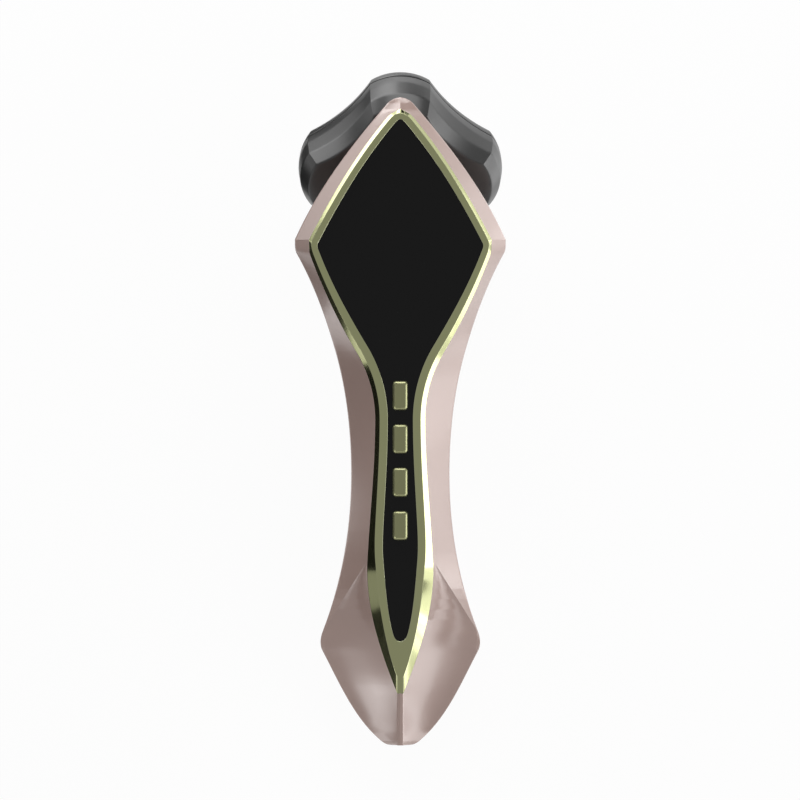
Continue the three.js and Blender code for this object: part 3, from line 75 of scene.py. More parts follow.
# Body, seen from the front
BODY_TOP = 105
APEX_HALF_WIDTH = 3.7
APEX_DROP = 1.8
DIAMOND_HALF_WIDTH = 29.1
DIAMOND_CORNER_Y = 63.8
DIAMOND_CORNER_SPAN = 5
MITRE_Y = 65.1
MITRE_STAND = 0.5
MITRE_TURN = -2
FLANK_HALF_WIDTH = 18.3
FLANK_Y = 34.1
WAIST_HALF_WIDTH = 13.8
WAIST_Y = -0.7
TAIL_HALF_WIDTH = 21.8
TAIL_CORNER_Y = -47.5
TAIL_CORNER_SPAN = 5.5
TAIL_END_HALF_WIDTH = 2.5
TAIL_END_Y = -76.6
TAIL_END_ROUND_X = 3
TAIL_END_ROUND_Y = 1.3

# Flat gold band round the window
BAND_TOP = 100.5
BAND_APEX_HALF_WIDTH = 2.9
BAND_APEX_DROP = 1.7
BAND_DIAMOND_HALF_WIDTH = 24.6
BAND_CORNER_Y = 62.8
BAND_CORNER_SPAN = 4.2
BAND_CORNER_LEAN = 0.4
BAND_FLANK_HALF_WIDTH = 11.1
BAND_GRIP_HALF_WIDTH = 5.7
BAND_GRIP_Y = 14.6
BAND_SWELL_HALF_WIDTH = 6.9
BAND_SWELL_Y = -20
BAND_SWELL_SPAN = 11
BAND_TIP_Y = -57.4
BAND_WIDTH_DIAMOND = 1.75
BAND_WIDTH_GRIP = 2.2
WINDOW_END_Y = -47.5
WINDOW_END_HALF_WIDTH = 2.2
WINDOW_END_LENGTH = 2.7

# Bevelled edge of the trim
BEVEL_WIDTH_DIAMOND = 0.95
BEVEL_WIDTH_GRIP = 1.3
BEVEL_DEPTH = 1.2
BEVEL_DEPTH_TAIL = 2.2
TAIL_DIP_Y = -31
TRIM_POINT = 0.25
TRIM_POINT_TURN = 62
TRIM_MITRE_HALF_WIDTH = 25.56
TRIM_TAIL_HALF_WIDTH = 9.2
TRIM_TAIL_Y = -24.8
TRIM_TIP_Y = -62
TRIM_DEPTH = 2.9
POCKET_DEPTH = 3.2
BAND_ROW_SHARES = (0.35, 0.65)
TRIM_WELD = 0.004

# Fishtail
RIDGE_HALF_WIDTH = 0.85
RIDGE_HEIGHT = 0.5
RIDGE_ROOF_SHARE = 0.85
RIDGE_EAVES_DROP = 0.12
CREASE_END_HALF_WIDTH = 21.4
CREASE_END_Y = -44.2
CREASE_EDGE_GAP = 0.1
SCOOP = 1.1
SCOOP_GROWTH = 1.5
SCOOP_WIDTH = 11
SCOOP_FADE = 1.5
FOOT_REACH = 1.2
APEX_STEP = 0.2

# Depths under the front, from the top of the body down: height and depth
EDGE_DEPTHS = (
    (BODY_TOP, 4.2), (DIAMOND_CORNER_Y, 8), (WAIST_Y, 10), (TAIL_CORNER_Y, 9), (TAIL_END_Y, 6.5),
)
BACK_DEPTH_GRIP = 25.2
BACK_DEPTHS = (
    (BODY_TOP, 5.4), ((BODY_TOP + DIAMOND_CORNER_Y) / 2, 13.7), (DIAMOND_CORNER_Y, 22),
    (FLANK_Y, BACK_DEPTH_GRIP), (WAIST_Y, BACK_DEPTH_GRIP), (TAIL_CORNER_Y, 23.5),
    (TAIL_END_Y, 9.5),
)
BEVEL_DEPTHS = (
    (TRIM_TAIL_Y, BEVEL_DEPTH_TAIL), (TAIL_DIP_Y, 1.95), (TAIL_CORNER_Y, BEVEL_DEPTH_TAIL),
    (TRIM_TIP_Y, 1.6), (TAIL_END_Y, BEVEL_DEPTH_TAIL),
)
EDGE_STRIP = 0.8
BACK_FULLNESS = 2.4
BACK_LIP = 1
SHELL_GAP = 0.3

# Window and keys
WINDOW_RECESS = 0.2
WINDOW_THICKNESS = 1.5
KEY_WIDTH = 3.8
KEY_LENGTH = 7.7
KEY_ROUND = 0.75
KEY_HEIGHT = 0.75
KEY_FLANGE = 0.5
KEY_FLANGE_DEPTH = 2
KEY_FACE_EDGE = 0.02
KEY_FACE_INSET = 0.08
KEY_CHAMFER_TOP = 0.9
KEY_SHARP_ANGLE = 30
KEY_CLEARANCE = 0.3
KEY_FIRST_Y = 21.4
KEY_PITCH = 12.13
KEY_NAMES = ("power", "mode", "up", "down")

# Massage head
HEAD_Y = 80
HEAD_DEPTH = 22
HEAD_LEAN = 33
HEAD_HEIGHT = 18.2
HEAD_SHARP_ANGLE = 18
SEAT_CLEARANCE = 0.15
LOBE_HALF_ANGLE = 18
LOBE_FALL = 0.045
LOBE_COUNT = 4
# Rings of the housing and of the face that closes it: radius, height above the near face, and
# hollow of the sides
HOUSING_RINGS = (
    (23.8, 0, 2.1), (25.8, 0, 2.1), (28.2, 4.8, 1.9), (28.7, 10.1, 1.5), (28.5, 13.6, 1.5),
    (26.5, 13.6, 1.5),
)
FACE_RINGS = (
    (26.5, 13.75, 1.5), (28.5, 13.75, 1.5), (28, 16.1, 1.5), (27.25, 17.6, 1.5),
    (25, HEAD_HEIGHT, 1.5), (23, HEAD_HEIGHT, 1.5),
)
NECK_RADIUS = 15.5
NECK_ROOT_Y = 74
NECK_ROOT_DEPTH = 11.2
NECK_END_SHARE = 0.97
COLLAR_THICKNESS = 1.6
COLLAR_STAND = 0.6
COLLAR_WIDTH = 3
GROOVE_HALF_WIDTH = 0.25
GROOVE_DEPTH = 0.4
ELECTRODE_RING = 18.3
ELECTRODE_RADIUS = 5.8
ELECTRODE_DOME = 1.7
ELECTRODE_RIM = 0.6
ELECTRODE_STEM_RADIUS = 2.6
STEM_DEPTH = 2
SMALL_ROUND_HEAD = 0.15
ELECTRODES = {"right": 0, "top": 90, "left": 180, "bottom": 270}
LENS_RADIUS = 7.8
LENS_DOME = 0.8
LENS_RIM = 0.1

# Screws and socket in the back
SCREW_HEAD_RADIUS = 1.9
SCREW_PLACES = ((-18.3, 51), (18.3, 51), (0, -46))
SCREW_WELL_DEPTH = 15.5
SOCKET_Y = -68.5
SOCKET_SLOT = (9.5, 3.8)
SOCKET_LENGTH = 6.5
SOCKET_FLAT = 0.05

# Steps of the meshes
OUTLINE_STEPS = 14
FINE_STEPS = 40
WINDOW_STEPS = 24
SLOPE_COLUMNS = 10
SIDE_COLUMNS = 4
BACK_STEPS = 20
WELL_STEPS = 40
NECK_STEPS = 72
NECK_LEVELS = 14
LOBE_STEPS = 12
HOLLOW_STEPS = 18
TURNED_STEPS = 64
CONTACT_STEPS = 48
FLOOR_STEPS = 96
STEPS_ROUND_TRIM = (10, 44, 12, 34, 26, 44, 40, 4)
LEAST_STEP = 0.08
BREAK_STEP = 0.01
SHARP_ANGLE = 32
FLAT_FACE_WEIGHT = 60
TOUCHING = 1e-3


def outline_direction(turn):
    """Direction of an outline: 0 is straight down, 90 to the right, -90 to the middle."""
    angle = math.radians(turn)
    return Vector((math.sin(angle), -math.cos(angle)))


def offset(outline, distances):
    """Moves each place of an outline outwards by its own distance."""
    moved = []
    for (x, y, turn), distance in zip(outline, distances):
        angle = math.radians(turn)
        moved.append((x + math.cos(angle) * distance, y + math.sin(angle) * distance, turn))
    return moved


def bezier(p0, p1, p2, p3, t):
    """Point of a cubic curve."""
    s = 1 - t
    return p0 * s ** 3 + p1 * 3 * s * s * t + p2 * 3 * s * t * t + p3 * t ** 3


def trace_span(outline, first, last, steps):
    """Smooth curve from one place of an outline to a later one."""
    points = []
    for (x0, y0, turn0), (x1, y1, turn1) in zip(outline[first:last], outline[first + 1:last + 1]):
        start, end = Vector((x0, y0)), Vector((x1, y1))
        bend = math.radians(abs(turn1 - turn0))
        reach = (end - start).length / (3 * math.cos(bend / 4) ** 2)
        near = start + outline_direction(turn0) * reach
        far = end - outline_direction(turn1) * reach
        run = [bezier(start, near, far, end, k / steps) for k in range(steps + 1)]
        points += run[1:] if points else run
    return points


def trace(outline, steps):
    return trace_span(outline, 0, len(outline) - 1, steps)


def spread(points, count):
    """The same line with evenly spaced points."""
    lengths = [0.0]
    for a, b in zip(points, points[1:]):
        lengths.append(lengths[-1] + (b - a).length)
    even = []
    k = 0
    for i in range(count + 1):
        goal = lengths[-1] * i / count
        while k < len(points) - 2 and lengths[k + 1] < goal:
            k += 1
        step = lengths[k + 1] - lengths[k]
        even.append(points[k].lerp(points[k + 1], (goal - lengths[k]) / step if step else 0))
    return even


def rail(outline, spans):
    """Line through an outline in spans of (first place, last place, number of steps)."""
    points = []
    for first, last, count in spans:
        run = spread(trace_span(outline, first, last, FINE_STEPS), count)
        points += run[1:] if points else run
    return points


def half_width_of(outline):
    """Half-width of an outline at height y, or 0 past its ends."""
    points = trace(outline, FINE_STEPS)

    def width(y):
        for a, b in zip(points, points[1:]):
            if b.y <= y <= a.y and a.y > b.y:
                return a.x + (b.x - a.x) * (a.y - y) / (a.y - b.y)
        return 0.0
    return width


def along(pairs):
    """Smooth value along the body, through (y, value) pairs from the top down."""
    def slope(i):
        a, b = pairs[max(i - 1, 0)], pairs[min(i + 1, len(pairs) - 1)]
        return (b[1] - a[1]) / (b[0] - a[0])

    def value(y):
        if y >= pairs[0][0]:
            return pairs[0][1]
        if y <= pairs[-1][0]:
            return pairs[-1][1]
        i = next(k for k in range(len(pairs) - 1) if pairs[k + 1][0] <= y <= pairs[k][0])
        (y0, v0), (y1, v1) = pairs[i], pairs[i + 1]
        span = y1 - y0
        t = (y - y0) / span
        return (v0 * (1 + 2 * t) * (1 - t) ** 2 + slope(i) * span * t * (1 - t) ** 2
                + v1 * t * t * (3 - 2 * t) + slope(i + 1) * span * t * t * (t - 1))
    return value


def arch(height, share):
    """Height of an even arch at a share of its span."""
    return height * 4 * share * (1 - share)


BODY_OUTLINE = [
    (0, BODY_TOP, 84),
    (APEX_HALF_WIDTH, BODY_TOP - APEX_DROP, 41),
    (DIAMOND_HALF_WIDTH + MITRE_STAND, MITRE_Y, 24),
    (DIAMOND_HALF_WIDTH + MITRE_STAND, MITRE_Y, MITRE_TURN),
    (DIAMOND_HALF_WIDTH, DIAMOND_CORNER_Y - DIAMOND_CORNER_SPAN / 2, -29),
    (FLANK_HALF_WIDTH, FLANK_Y, -16),
    (WAIST_HALF_WIDTH, WAIST_Y, 0),
    (TAIL_HALF_WIDTH, TAIL_CORNER_Y + TAIL_CORNER_SPAN / 2, 21),
    (TAIL_HALF_WIDTH, TAIL_CORNER_Y - TAIL_CORNER_SPAN / 2, -28),
    (TAIL_END_HALF_WIDTH + TAIL_END_ROUND_X, TAIL_END_Y + TAIL_END_ROUND_Y, -50),
    (TAIL_END_HALF_WIDTH, TAIL_END_Y, -90),
]
BAND_OUTLINE = [
    (0, BAND_TOP, 90),
    (BAND_APEX_HALF_WIDTH, BAND_TOP - BAND_APEX_DROP, 40),
    (BAND_DIAMOND_HALF_WIDTH, BAND_CORNER_Y + BAND_CORNER_SPAN / 2, 27),
    (BAND_DIAMOND_HALF_WIDTH - BAND_CORNER_LEAN, BAND_CORNER_Y - BAND_CORNER_SPAN / 2, -21),
    (BAND_FLANK_HALF_WIDTH, FLANK_Y, -31),
    (BAND_GRIP_HALF_WIDTH, BAND_GRIP_Y, 0),
    (BAND_SWELL_HALF_WIDTH, BAND_SWELL_Y + BAND_SWELL_SPAN / 2, 3),
    (BAND_SWELL_HALF_WIDTH, BAND_SWELL_Y - BAND_SWELL_SPAN / 2, -5),
    (RIDGE_HALF_WIDTH, BAND_TIP_Y, -21),
    (0, BAND_TIP_Y, -90),
]
DIAMOND_PLACES = 4
WINDOW_OUTLINE = offset(
    BAND_OUTLINE[:-2],
    [-BAND_WIDTH_DIAMOND] * DIAMOND_PLACES + [-BAND_WIDTH_GRIP] * DIAMOND_PLACES,
) + [(WINDOW_END_HALF_WIDTH, WINDOW_END_Y + WINDOW_END_LENGTH, -14), (0, WINDOW_END_Y, -90)]
TRIM_PLACES = offset(
    BAND_OUTLINE[:6], [BEVEL_WIDTH_DIAMOND] * DIAMOND_PLACES + [BEVEL_WIDTH_GRIP] * 2,
)
TRIM_OUTLINE = [
    (0, TRIM_PLACES[0][1] + TRIM_POINT, TRIM_POINT_TURN),
    TRIM_PLACES[1],
    (TRIM_MITRE_HALF_WIDTH, MITRE_Y, TRIM_PLACES[2][2]),
    (TRIM_MITRE_HALF_WIDTH, MITRE_Y, MITRE_TURN),
    *TRIM_PLACES[3:],
    (TRIM_TAIL_HALF_WIDTH, TRIM_TAIL_Y, 3),
    (RIDGE_HALF_WIDTH, TRIM_TIP_Y, -22),
    (0, TRIM_TIP_Y, -90),
]
TRIM_TOP = TRIM_OUTLINE[0][1]

body_half_width = half_width_of(BODY_OUTLINE)
trim_half_width = half_width_of(TRIM_OUTLINE[:-1])
band_half_width = half_width_of(BAND_OUTLINE[:-1])
tail_bevel_depth = along(BEVEL_DEPTHS)
edge_depth = along(EDGE_DEPTHS)
back_depth = along(BACK_DEPTHS)


def bevel_depth(y):
    """Depth of the trim's outer edge: one slope down the grip, then a dip past the crease."""
    if y > BAND_GRIP_Y:
        return BEVEL_DEPTH
    if y > TRIM_TAIL_Y:
        width = trim_half_width(y) - band_half_width(y)
        return max(BEVEL_DEPTH, min(width * BEVEL_DEPTH / BEVEL_WIDTH_GRIP, BEVEL_DEPTH_TAIL))
    return tail_bevel_depth(y)


def heights(*outlines, breaks=(), through=()):
    """Heights to cut the body at, from the top down: close together where its lines turn."""
    found = sorted({point.y for outline in outlines for point in trace(outline, OUTLINE_STEPS)})
    kept = [found[-1], found[0], *through]
    kept += [y + side for y in breaks for side in (BREAK_STEP, -BREAK_STEP)]
    chosen = []
    for y in found[1:-1]:
        if not chosen or y - chosen[-1] > LEAST_STEP:
            chosen.append(y)
    clear = [y for y in chosen if all(abs(y - k) > LEAST_STEP for k in kept)]
    return sorted(kept + clear, reverse=True)


def fillet(before, corner, after, radius, steps=3):
    """Points of a small round over a corner, held to half of the lines beside it."""
    back, on = before - corner, after - corner
    start = corner + back * min(0.5, radius / max(back.length, TOUCHING))
    end = corner + on * min(0.5, radius / max(on.length, TOUCHING))
    curve = []
    for k in range(steps + 1):
        t = k / steps
        curve.append(start * (1 - t) ** 2 + corner * 2 * t * (1 - t) + end * t * t)
    return curve


# Meshes

def finish_mesh(bm, name, merge=TOUCHING):
    """Welds what touches, turns the faces out and lays the mesh in the frame."""
    bmesh.ops.remove_doubles(bm, verts=bm.verts[:], dist=merge)
    bmesh.ops.dissolve_degenerate(bm, edges=bm.edges[:], dist=merge)
    bmesh.ops.recalc_face_normals(bm, faces=bm.faces[:])
    mesh = bpy.data.meshes.new(name)
    bm.to_mesh(mesh)
    bm.free()
    mesh.transform(PLACE)
    piece = bpy.data.objects.new(name, mesh)
    bpy.context.scene.collection.objects.link(piece)
    return piece


def add_grid(bm, rows, wrap=False, capped=False):
    """Quads over rows of points of one length, and a face over each end if asked."""
    lines = [[bm.verts.new(point) for point in row] for row in rows]
    count = len(rows[0])
    for upper, lower in zip(lines, lines[1:]):
        for i in range(count if wrap else count - 1):
            j = (i + 1) % count
            bm.faces.new((upper[i], upper[j], lower[j], lower[i]))
    if capped:
        bm.faces.new(lines[0])
        bm.faces.new(lines[-1])
    return lines


def closed_mesh(name, rows):
    """Piece closed over rings of points, with a face over each end."""
    bm = bmesh.new()
    add_grid(bm, rows, wrap=True, capped=True)
    return finish_mesh(bm, name)


def shade(piece, sharp_angle=SHARP_ANGLE):
    """Smooth shading that keeps flat faces flat and hard lines hard."""
    for polygon in piece.data.polygons:
        polygon.use_smooth = True
    piece.data.set_sharp_from_angle(angle=math.radians(sharp_angle))
    weighted = piece.modifiers.new("Weighted normals", "WEIGHTED_NORMAL")
    weighted.keep_sharp = True
    weighted.weight = FLAT_FACE_WEIGHT
    return piece


def both_halves(bm, name, sizes, merge=TOUCHING):
    """Adds the left half to the right-hand one and finishes them as one piece."""
    geometry = bm.verts[:] + bm.edges[:] + bm.faces[:]
    bmesh.ops.mirror(bm, geom=geometry, axis="X", merge_dist=TOUCHING)
    return shade(finish_mesh(bm, name, merge), sizes.crease_angle)


def dress(piece, finish_name, slot, body, *nodes):
    """Gives a piece its finish and its body, and hides the solids it stands for."""
    piece.data.materials.clear()
    piece.data.materials.append(MATERIALS[finish_name])
    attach(piece, body)
    if nodes:
        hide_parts(*nodes)


def cut(piece, cutters):
    """Cuts closed meshes out of a piece for good."""
    for cutter in cutters:
        boolean = piece.modifiers.new("Cut", "BOOLEAN")
        boolean.operation = "DIFFERENCE"
        boolean.solver = "EXACT"
        boolean.object = cutter
    bpy.context.view_layer.update()
    view = bpy.context.evaluated_depsgraph_get()
    result = bpy.data.meshes.new_from_object(piece.evaluated_get(view))
    old = piece.data
    piece.modifiers.clear()
    piece.data = result
    bpy.data.meshes.remove(old)
    for cutter in cutters:
        mesh = cutter.data
        bpy.data.objects.remove(cutter)
        bpy.data.meshes.remove(mesh)


def turned(profile, steps, place=Matrix()):
    """Rows of a solid turned about the z axis of a place, from (radius, height) pairs."""
    rows = []
    for radius, height in profile:
        angles = [2 * math.pi * i / steps for i in range(steps)]
        rows.append([place @ Vector((radius * math.cos(angle), radius * math.sin(angle), height))
                     for angle in angles])
    return rows


def smooth_profile(corners, radius):
    """Profile with its inner corners rounded: (radius, height) pairs."""
    corners = [Vector(corner) for corner in corners]
    points = [corners[0]]
    for before, corner, after in zip(corners, corners[1:], corners[2:]):
        points += fillet(before, corner, after, radius)
    return [(point.x, point.y) for point in points + [corners[-1]]]


def rounded_loop(width, length, round_radius, y=0, steps=6):
    """Rounded rectangle at height y as a list of flat points."""
    points = []
    for sx, sy, start in ((1, 1, 0), (-1, 1, 90), (-1, -1, 180), (1, -1, 270)):
        for i in range(steps + 1):
            angle = math.radians(start + 90 * i / steps)
            points.append(Vector((
                sx * (width / 2 - round_radius) + round_radius * math.cos(angle),
                y + sy * (length / 2 - round_radius) + round_radius * math.sin(angle),
            )))
    return points


# Pieces of the body

def ridge_foot(y):
    """How far the tail's facets carry on under the ridge, past the trim's tip."""
    fall = math.tan(math.radians(-TRIM_OUTLINE[-2][2]))
    return FOOT_REACH * (1 - math.exp((y - TRIM_TIP_Y) * fall / FOOT_REACH))


def front_section(y, sizes):
    """Right half of the surround's outer line at height y, from the trim to the seam."""
    edge = body_half_width(y)
    depth = edge_depth(y)
    above, below = y > TRIM_TOP, y < TRIM_TIP_Y
    start = 0.0 if above else RIDGE_HALF_WIDTH if below else trim_half_width(y)
    origin = start - ridge_foot(y) if below else start
    seam = 0.0 if above or below else sizes.trim_seam
    rise = (y - TRIM_TOP) / (BODY_TOP - TRIM_TOP) if above else 0
    top = bevel_depth(y) + rise * (depth - bevel_depth(y) - APEX_STEP)
    run = min(max((TRIM_TAIL_Y - y) / (TRIM_TAIL_Y - CREASE_END_Y), 0), 1)
    straight = TRIM_TAIL_HALF_WIDTH + (CREASE_END_HALF_WIDTH - TRIM_TAIL_HALF_WIDTH) * run
    crease = max(min(straight, edge - CREASE_EDGE_GAP), start + seam) if run > 0 else start + seam
    narrow = 1 if y > CREASE_END_Y else min((crease - start) / SCOOP_WIDTH, 1) ** SCOOP_FADE
    scoop = SCOOP * min(run * SCOOP_GROWTH, 1) * narrow

    def on_slope(x):
        return Vector((x, -(top + (depth - top) * (x - origin) / max(edge - origin, TOUCHING))))

    surface = []
    for k in range(SLOPE_COLUMNS + 1):
        x = start + seam + (crease - start - seam) * k / SLOPE_COLUMNS
        share = (x - origin) / max(crease - origin, TOUCHING)
        surface.append(on_slope(x) - Vector((0, arch(scoop, share))))
    for k in range(1, SIDE_COLUMNS + 1):
        surface.append(on_slope(crease + (edge - crease) * k / SIDE_COLUMNS))
    foot = Vector((edge, -(depth + EDGE_STRIP)))
    if above:
        inner = [surface[0].copy() for _ in range(3)]
    elif below:
        ridge = -(top - RIDGE_HEIGHT)
        eaves = ridge - sizes.ridge_roof
        inner = [
            Vector((0, ridge)),
            Vector((RIDGE_HALF_WIDTH * RIDGE_ROOF_SHARE, eaves)),
            Vector((RIDGE_HALF_WIDTH, eaves - RIDGE_EAVES_DROP)),
        ]
    else:
        inner = [
            Vector((start + seam, -POCKET_DEPTH)),
            surface[0] - Vector((0, sizes.small_round)),
            surface[0] - Vector((0, sizes.small_round)),
        ]
    head = fillet(inner[-1], surface[0], surface[1], sizes.small_round, 2)
    tail = fillet(surface[-2], surface[-1], foot, sizes.edge_round, 4)
    lip = Vector((max(edge - sizes.surround_wall, edge / 2), foot.y))
    line = inner + head + surface[1:-1] + tail + [foot, lip]
    return [Vector((point.x, y, point.y)) for point in line]


def build_surround(sizes):
    cuts = heights(BODY_OUTLINE, TRIM_OUTLINE, breaks=(TRIM_TOP, TRIM_TIP_Y),
                   through=(MITRE_Y, TRIM_TAIL_Y))
    rows = [front_section(y, sizes) for y in cuts]
    bm = bmesh.new()
    lines = add_grid(bm, rows)
    foot = bm.verts.new((0, TAIL_END_Y, rows[-1][-1].z))
    bm.faces.new(lines[-1] + [foot])
    return both_halves(bm, "surround", sizes)


def back_section(y, sizes):
    """Ring of the back shell at height y: down from the right-hand seam and up on the left."""
    half_width = body_half_width(y)
    front = edge_depth(y) + EDGE_STRIP + SHELL_GAP
    height = back_depth(y) - front
    right = []
    for k in range(BACK_STEPS):
        angle = math.radians(90 * k / BACK_STEPS)
        x = half_width * math.cos(angle) ** (2 / BACK_FULLNESS)
        z = height * math.sin(angle) ** (2 / BACK_FULLNESS)
        right.append(Vector((x, -(front + z))))
    inner = Vector((max(half_width - BACK_LIP, half_width / 2), -front))
    right = [inner] + fillet(inner, right[0], right[1], sizes.small_round, 2) + right[1:]
    ring = [Vector((point.x, y, point.y)) for point in right]
    ring.append(Vector((0, y, -(front + height))))
    return ring + [Vector((-point.x, y, point.z)) for point in reversed(ring[:-1])]


def head_place():
    """Matrix from the head's own axes, whose z points out of the massage face."""
    turn = Matrix.Rotation(math.radians(HEAD_LEAN), 4, "X") @ Matrix.Rotation(math.pi, 4, "Y")
    return Matrix.Translation((0, HEAD_Y, -HEAD_DEPTH)) @ turn


HEAD = head_place()


def socket_place():
    """Matrix from the socket's own axes, whose z points out of its mouth."""
    slope = (back_depth(SOCKET_Y + 1) - back_depth(SOCKET_Y - 1)) / 2
    turn = Matrix.Rotation(-math.atan(slope), 4, "X")
    return Matrix.Translation((0, SOCKET_Y, -back_depth(SOCKET_Y))) @ turn


def build_back(sizes):
    back = closed_mesh("back_cover", [back_section(y, sizes) for y in heights(BODY_OUTLINE)][1:])
    radius = SCREW_HEAD_RADIUS + SHELL_GAP
    well = ((radius, -2 * BACK_DEPTH_GRIP), (radius, -SCREW_WELL_DEPTH))
    cutters = []
    for x, y in SCREW_PLACES:
        place = Matrix.Translation((x, y, 0))
        cutters.append(closed_mesh("well", turned(well, WELL_STEPS, place)))
    loop = rounded_loop(*SOCKET_SLOT, SOCKET_SLOT[1] / 2 - SOCKET_FLAT, steps=8)
    place = socket_place()
    cutters.append(closed_mesh("slot", [
        [place @ Vector((*point, z)) for point in loop] for z in (-SOCKET_LENGTH, SOCKET_LENGTH)]))
    cut(back, cutters)
    return shade(back, sizes.crease_angle)


def build_neck(sizes):
    """Flared tube from the back of the diamond to the head."""
    end_height = -(COLLAR_THICKNESS + 2 * SHELL_GAP)
    root_centre = Vector((0, NECK_ROOT_Y, -NECK_ROOT_DEPTH))
    centre = HEAD @ Vector((0, 0, end_height))
    rows = []
    for level in range(NECK_LEVELS + 1):
        share = level / NECK_LEVELS
        middle = root_centre.lerp(centre, share)
        swell = sizes.neck_flare * (1 - share) ** 3 / NECK_RADIUS
        row = []
        for i in range(NECK_STEPS):
            angle = 2 * math.pi * i / NECK_STEPS
            across, up = NECK_RADIUS * math.sin(angle), NECK_RADIUS * math.cos(angle)
            root = Vector((across, NECK_ROOT_Y + up, -NECK_ROOT_DEPTH))
            point = root.lerp(HEAD @ Vector((-across, up, end_height)), share)
            row.append(point + (point - middle) * swell)
        rows.append(row)
    rows.append([centre.lerp(point, NECK_END_SHARE) for point in rows[-1]])
    return shade(closed_mesh("neck", rows))


def trim_rails():
    """The window's edge, the band's and the trim's outer edge, matched point by point."""
    spans = ((0, 1), (1, 2), (2, 3), (3, 4), (4, 5), (5, 7), (7, 8), (8, 9))
    trim_spans = ((0, 1), (1, 2), (3, 4), (4, 5), (5, 6), (6, 7), (7, 8), (8, 9))
    counted, trim_counted = (
        [(first, last, count) for (first, last), count in zip(places, STEPS_ROUND_TRIM)]
        for places in (spans, trim_spans))
    return (rail(WINDOW_OUTLINE, counted), rail(BAND_OUTLINE, counted),
            rail(TRIM_OUTLINE, trim_counted))


def build_trim(sizes):
    """Gold trim: a flat band, a bevel that widens at the fishtail, and the lip under the window."""
    window, band, trim = trim_rails()
    tip_rows = STEPS_ROUND_TRIM[-1]
    rows = []
    for i, (inside, edge, outside) in enumerate(zip(window, band, trim)):
        at_tip = i >= len(trim) - 1 - tip_rows
        drop = bevel_depth(outside.y) - (RIDGE_HEIGHT if at_tip else 0)
        corners = [
            Vector((*inside, -TRIM_DEPTH)),
            Vector((*inside, 0)),
            Vector((*edge, 0)),
            Vector((*outside, -drop)),
            Vector((*outside, -TRIM_DEPTH)),
        ]
        row = [corners[0]]
        row += fillet(corners[0], corners[1], corners[2], sizes.band_round, 4)
        row += [corners[1].lerp(corners[2], share) for share in BAND_ROW_SHARES]
        row += fillet(corners[1], corners[2], corners[3], sizes.band_round, 4)
        row += fillet(corners[2], corners[3], corners[4], sizes.small_round, 2)
        row.append(corners[4])
        rows.append(row)
    bm = bmesh.new()
    add_grid(bm, rows, wrap=True)
    return both_halves(bm, "trim", sizes, TRIM_WELD)


def key_heights():
    return [KEY_FIRST_Y - k * KEY_PITCH for k in range(len(KEY_NAMES))]


def build_window(sizes):
    """Flat window with the key openings and a small chamfer round its front edges."""
    top, chamfer = -WINDOW_RECESS, sizes.small_round
    bm = bmesh.new()

    def edge_rings(points, grow):
        count = len(points)
        for inset, z in ((0, top - WINDOW_THICKNESS), (0, top - chamfer), (grow, top)):
            ring = []
            for k in range(count):
                line = points[(k + 1) % count] - points[k - 1]
                normal = Vector((line.y, -line.x)).normalized()
                ring.append(bm.verts.new((*(points[k] + normal * inset), z)))
            yield ring

    half = trace(offset(WINDOW_OUTLINE, [-sizes.trim_seam] * len(WINDOW_OUTLINE)), WINDOW_STEPS)
    left = [Vector((-point.x, point.y)) for point in reversed(half) if point.x > TOUCHING]
    rings = [list(edge_rings(half + left, chamfer))]
    grow = 2 * KEY_CLEARANCE
    for y in key_heights():
        hole = rounded_loop(KEY_WIDTH + grow, KEY_LENGTH + grow, KEY_ROUND + KEY_CLEARANCE, y)
        rings.append(list(edge_rings(hole, -chamfer)))
    for levels in rings:
        for lower, upper in zip(levels, levels[1:]):
            count = len(lower)
            for k in range(count):
                j = (k + 1) % count
                bm.faces.new((lower[k], lower[j], upper[j], upper[k]))
    for level in (0, -1):
        flat = [[vert.co.copy() for vert in levels[level]] for levels in rings]
        verts = [vert for levels in rings for vert in levels[level]]
        for corners in tessellate_polygon(flat):
            bm.faces.new([verts[k] for k in corners])
    return finish_mesh(bm, "window")


def build_key(name, y, sizes):
    """Key cap with a bright chamfer, over a flange that lies under the window."""
    chamfer = sizes.key_chamfer
    rows = []
    for grow, z in (
        (KEY_FLANGE, -KEY_FLANGE_DEPTH - KEY_FLANGE),
        (KEY_FLANGE, -KEY_FLANGE_DEPTH),
        (0, -KEY_FLANGE_DEPTH),
        (0, KEY_HEIGHT - chamfer),
        (-KEY_FACE_EDGE, KEY_HEIGHT - chamfer * KEY_CHAMFER_TOP),
        (-chamfer, KEY_HEIGHT - KEY_FACE_EDGE),
        (-chamfer - KEY_FACE_INSET, KEY_HEIGHT),
    ):
        loop = rounded_loop(KEY_WIDTH + 2 * grow, KEY_LENGTH + 2 * grow, KEY_ROUND, y)
        rows.append([Vector((*point, z)) for point in loop])
    return shade(closed_mesh(name, rows), KEY_SHARP_ANGLE)


# Pieces of the head

def lobed_ring(radius, height, hollow):
    """Four round lobes joined by hollow sides, as a ring at a height above the near face."""
    half, quarter = math.radians(LOBE_HALF_ANGLE), 2 * math.pi / LOBE_COUNT
    points = []

    def on_lobe(middle, share):
        angle = middle + half * share
        return Vector((math.cos(angle), math.sin(angle))) * radius * (1 - LOBE_FALL * share ** 2)

    for lobe in range(LOBE_COUNT):
        middle = 2 * math.pi * lobe / LOBE_COUNT
        points += [on_lobe(middle, 2 * i / LOBE_STEPS - 1) for i in range(LOBE_STEPS)]
        start, end = on_lobe(middle, 1), on_lobe(middle + quarter, -1)
        inwards = -(start + end).normalized()
        for i in range(HOLLOW_STEPS):
            share = i / HOLLOW_STEPS
            points.append(start.lerp(end, share) + inwards * arch(hollow, share))
    return [HEAD @ Vector((point.x, point.y, height)) for point in points]


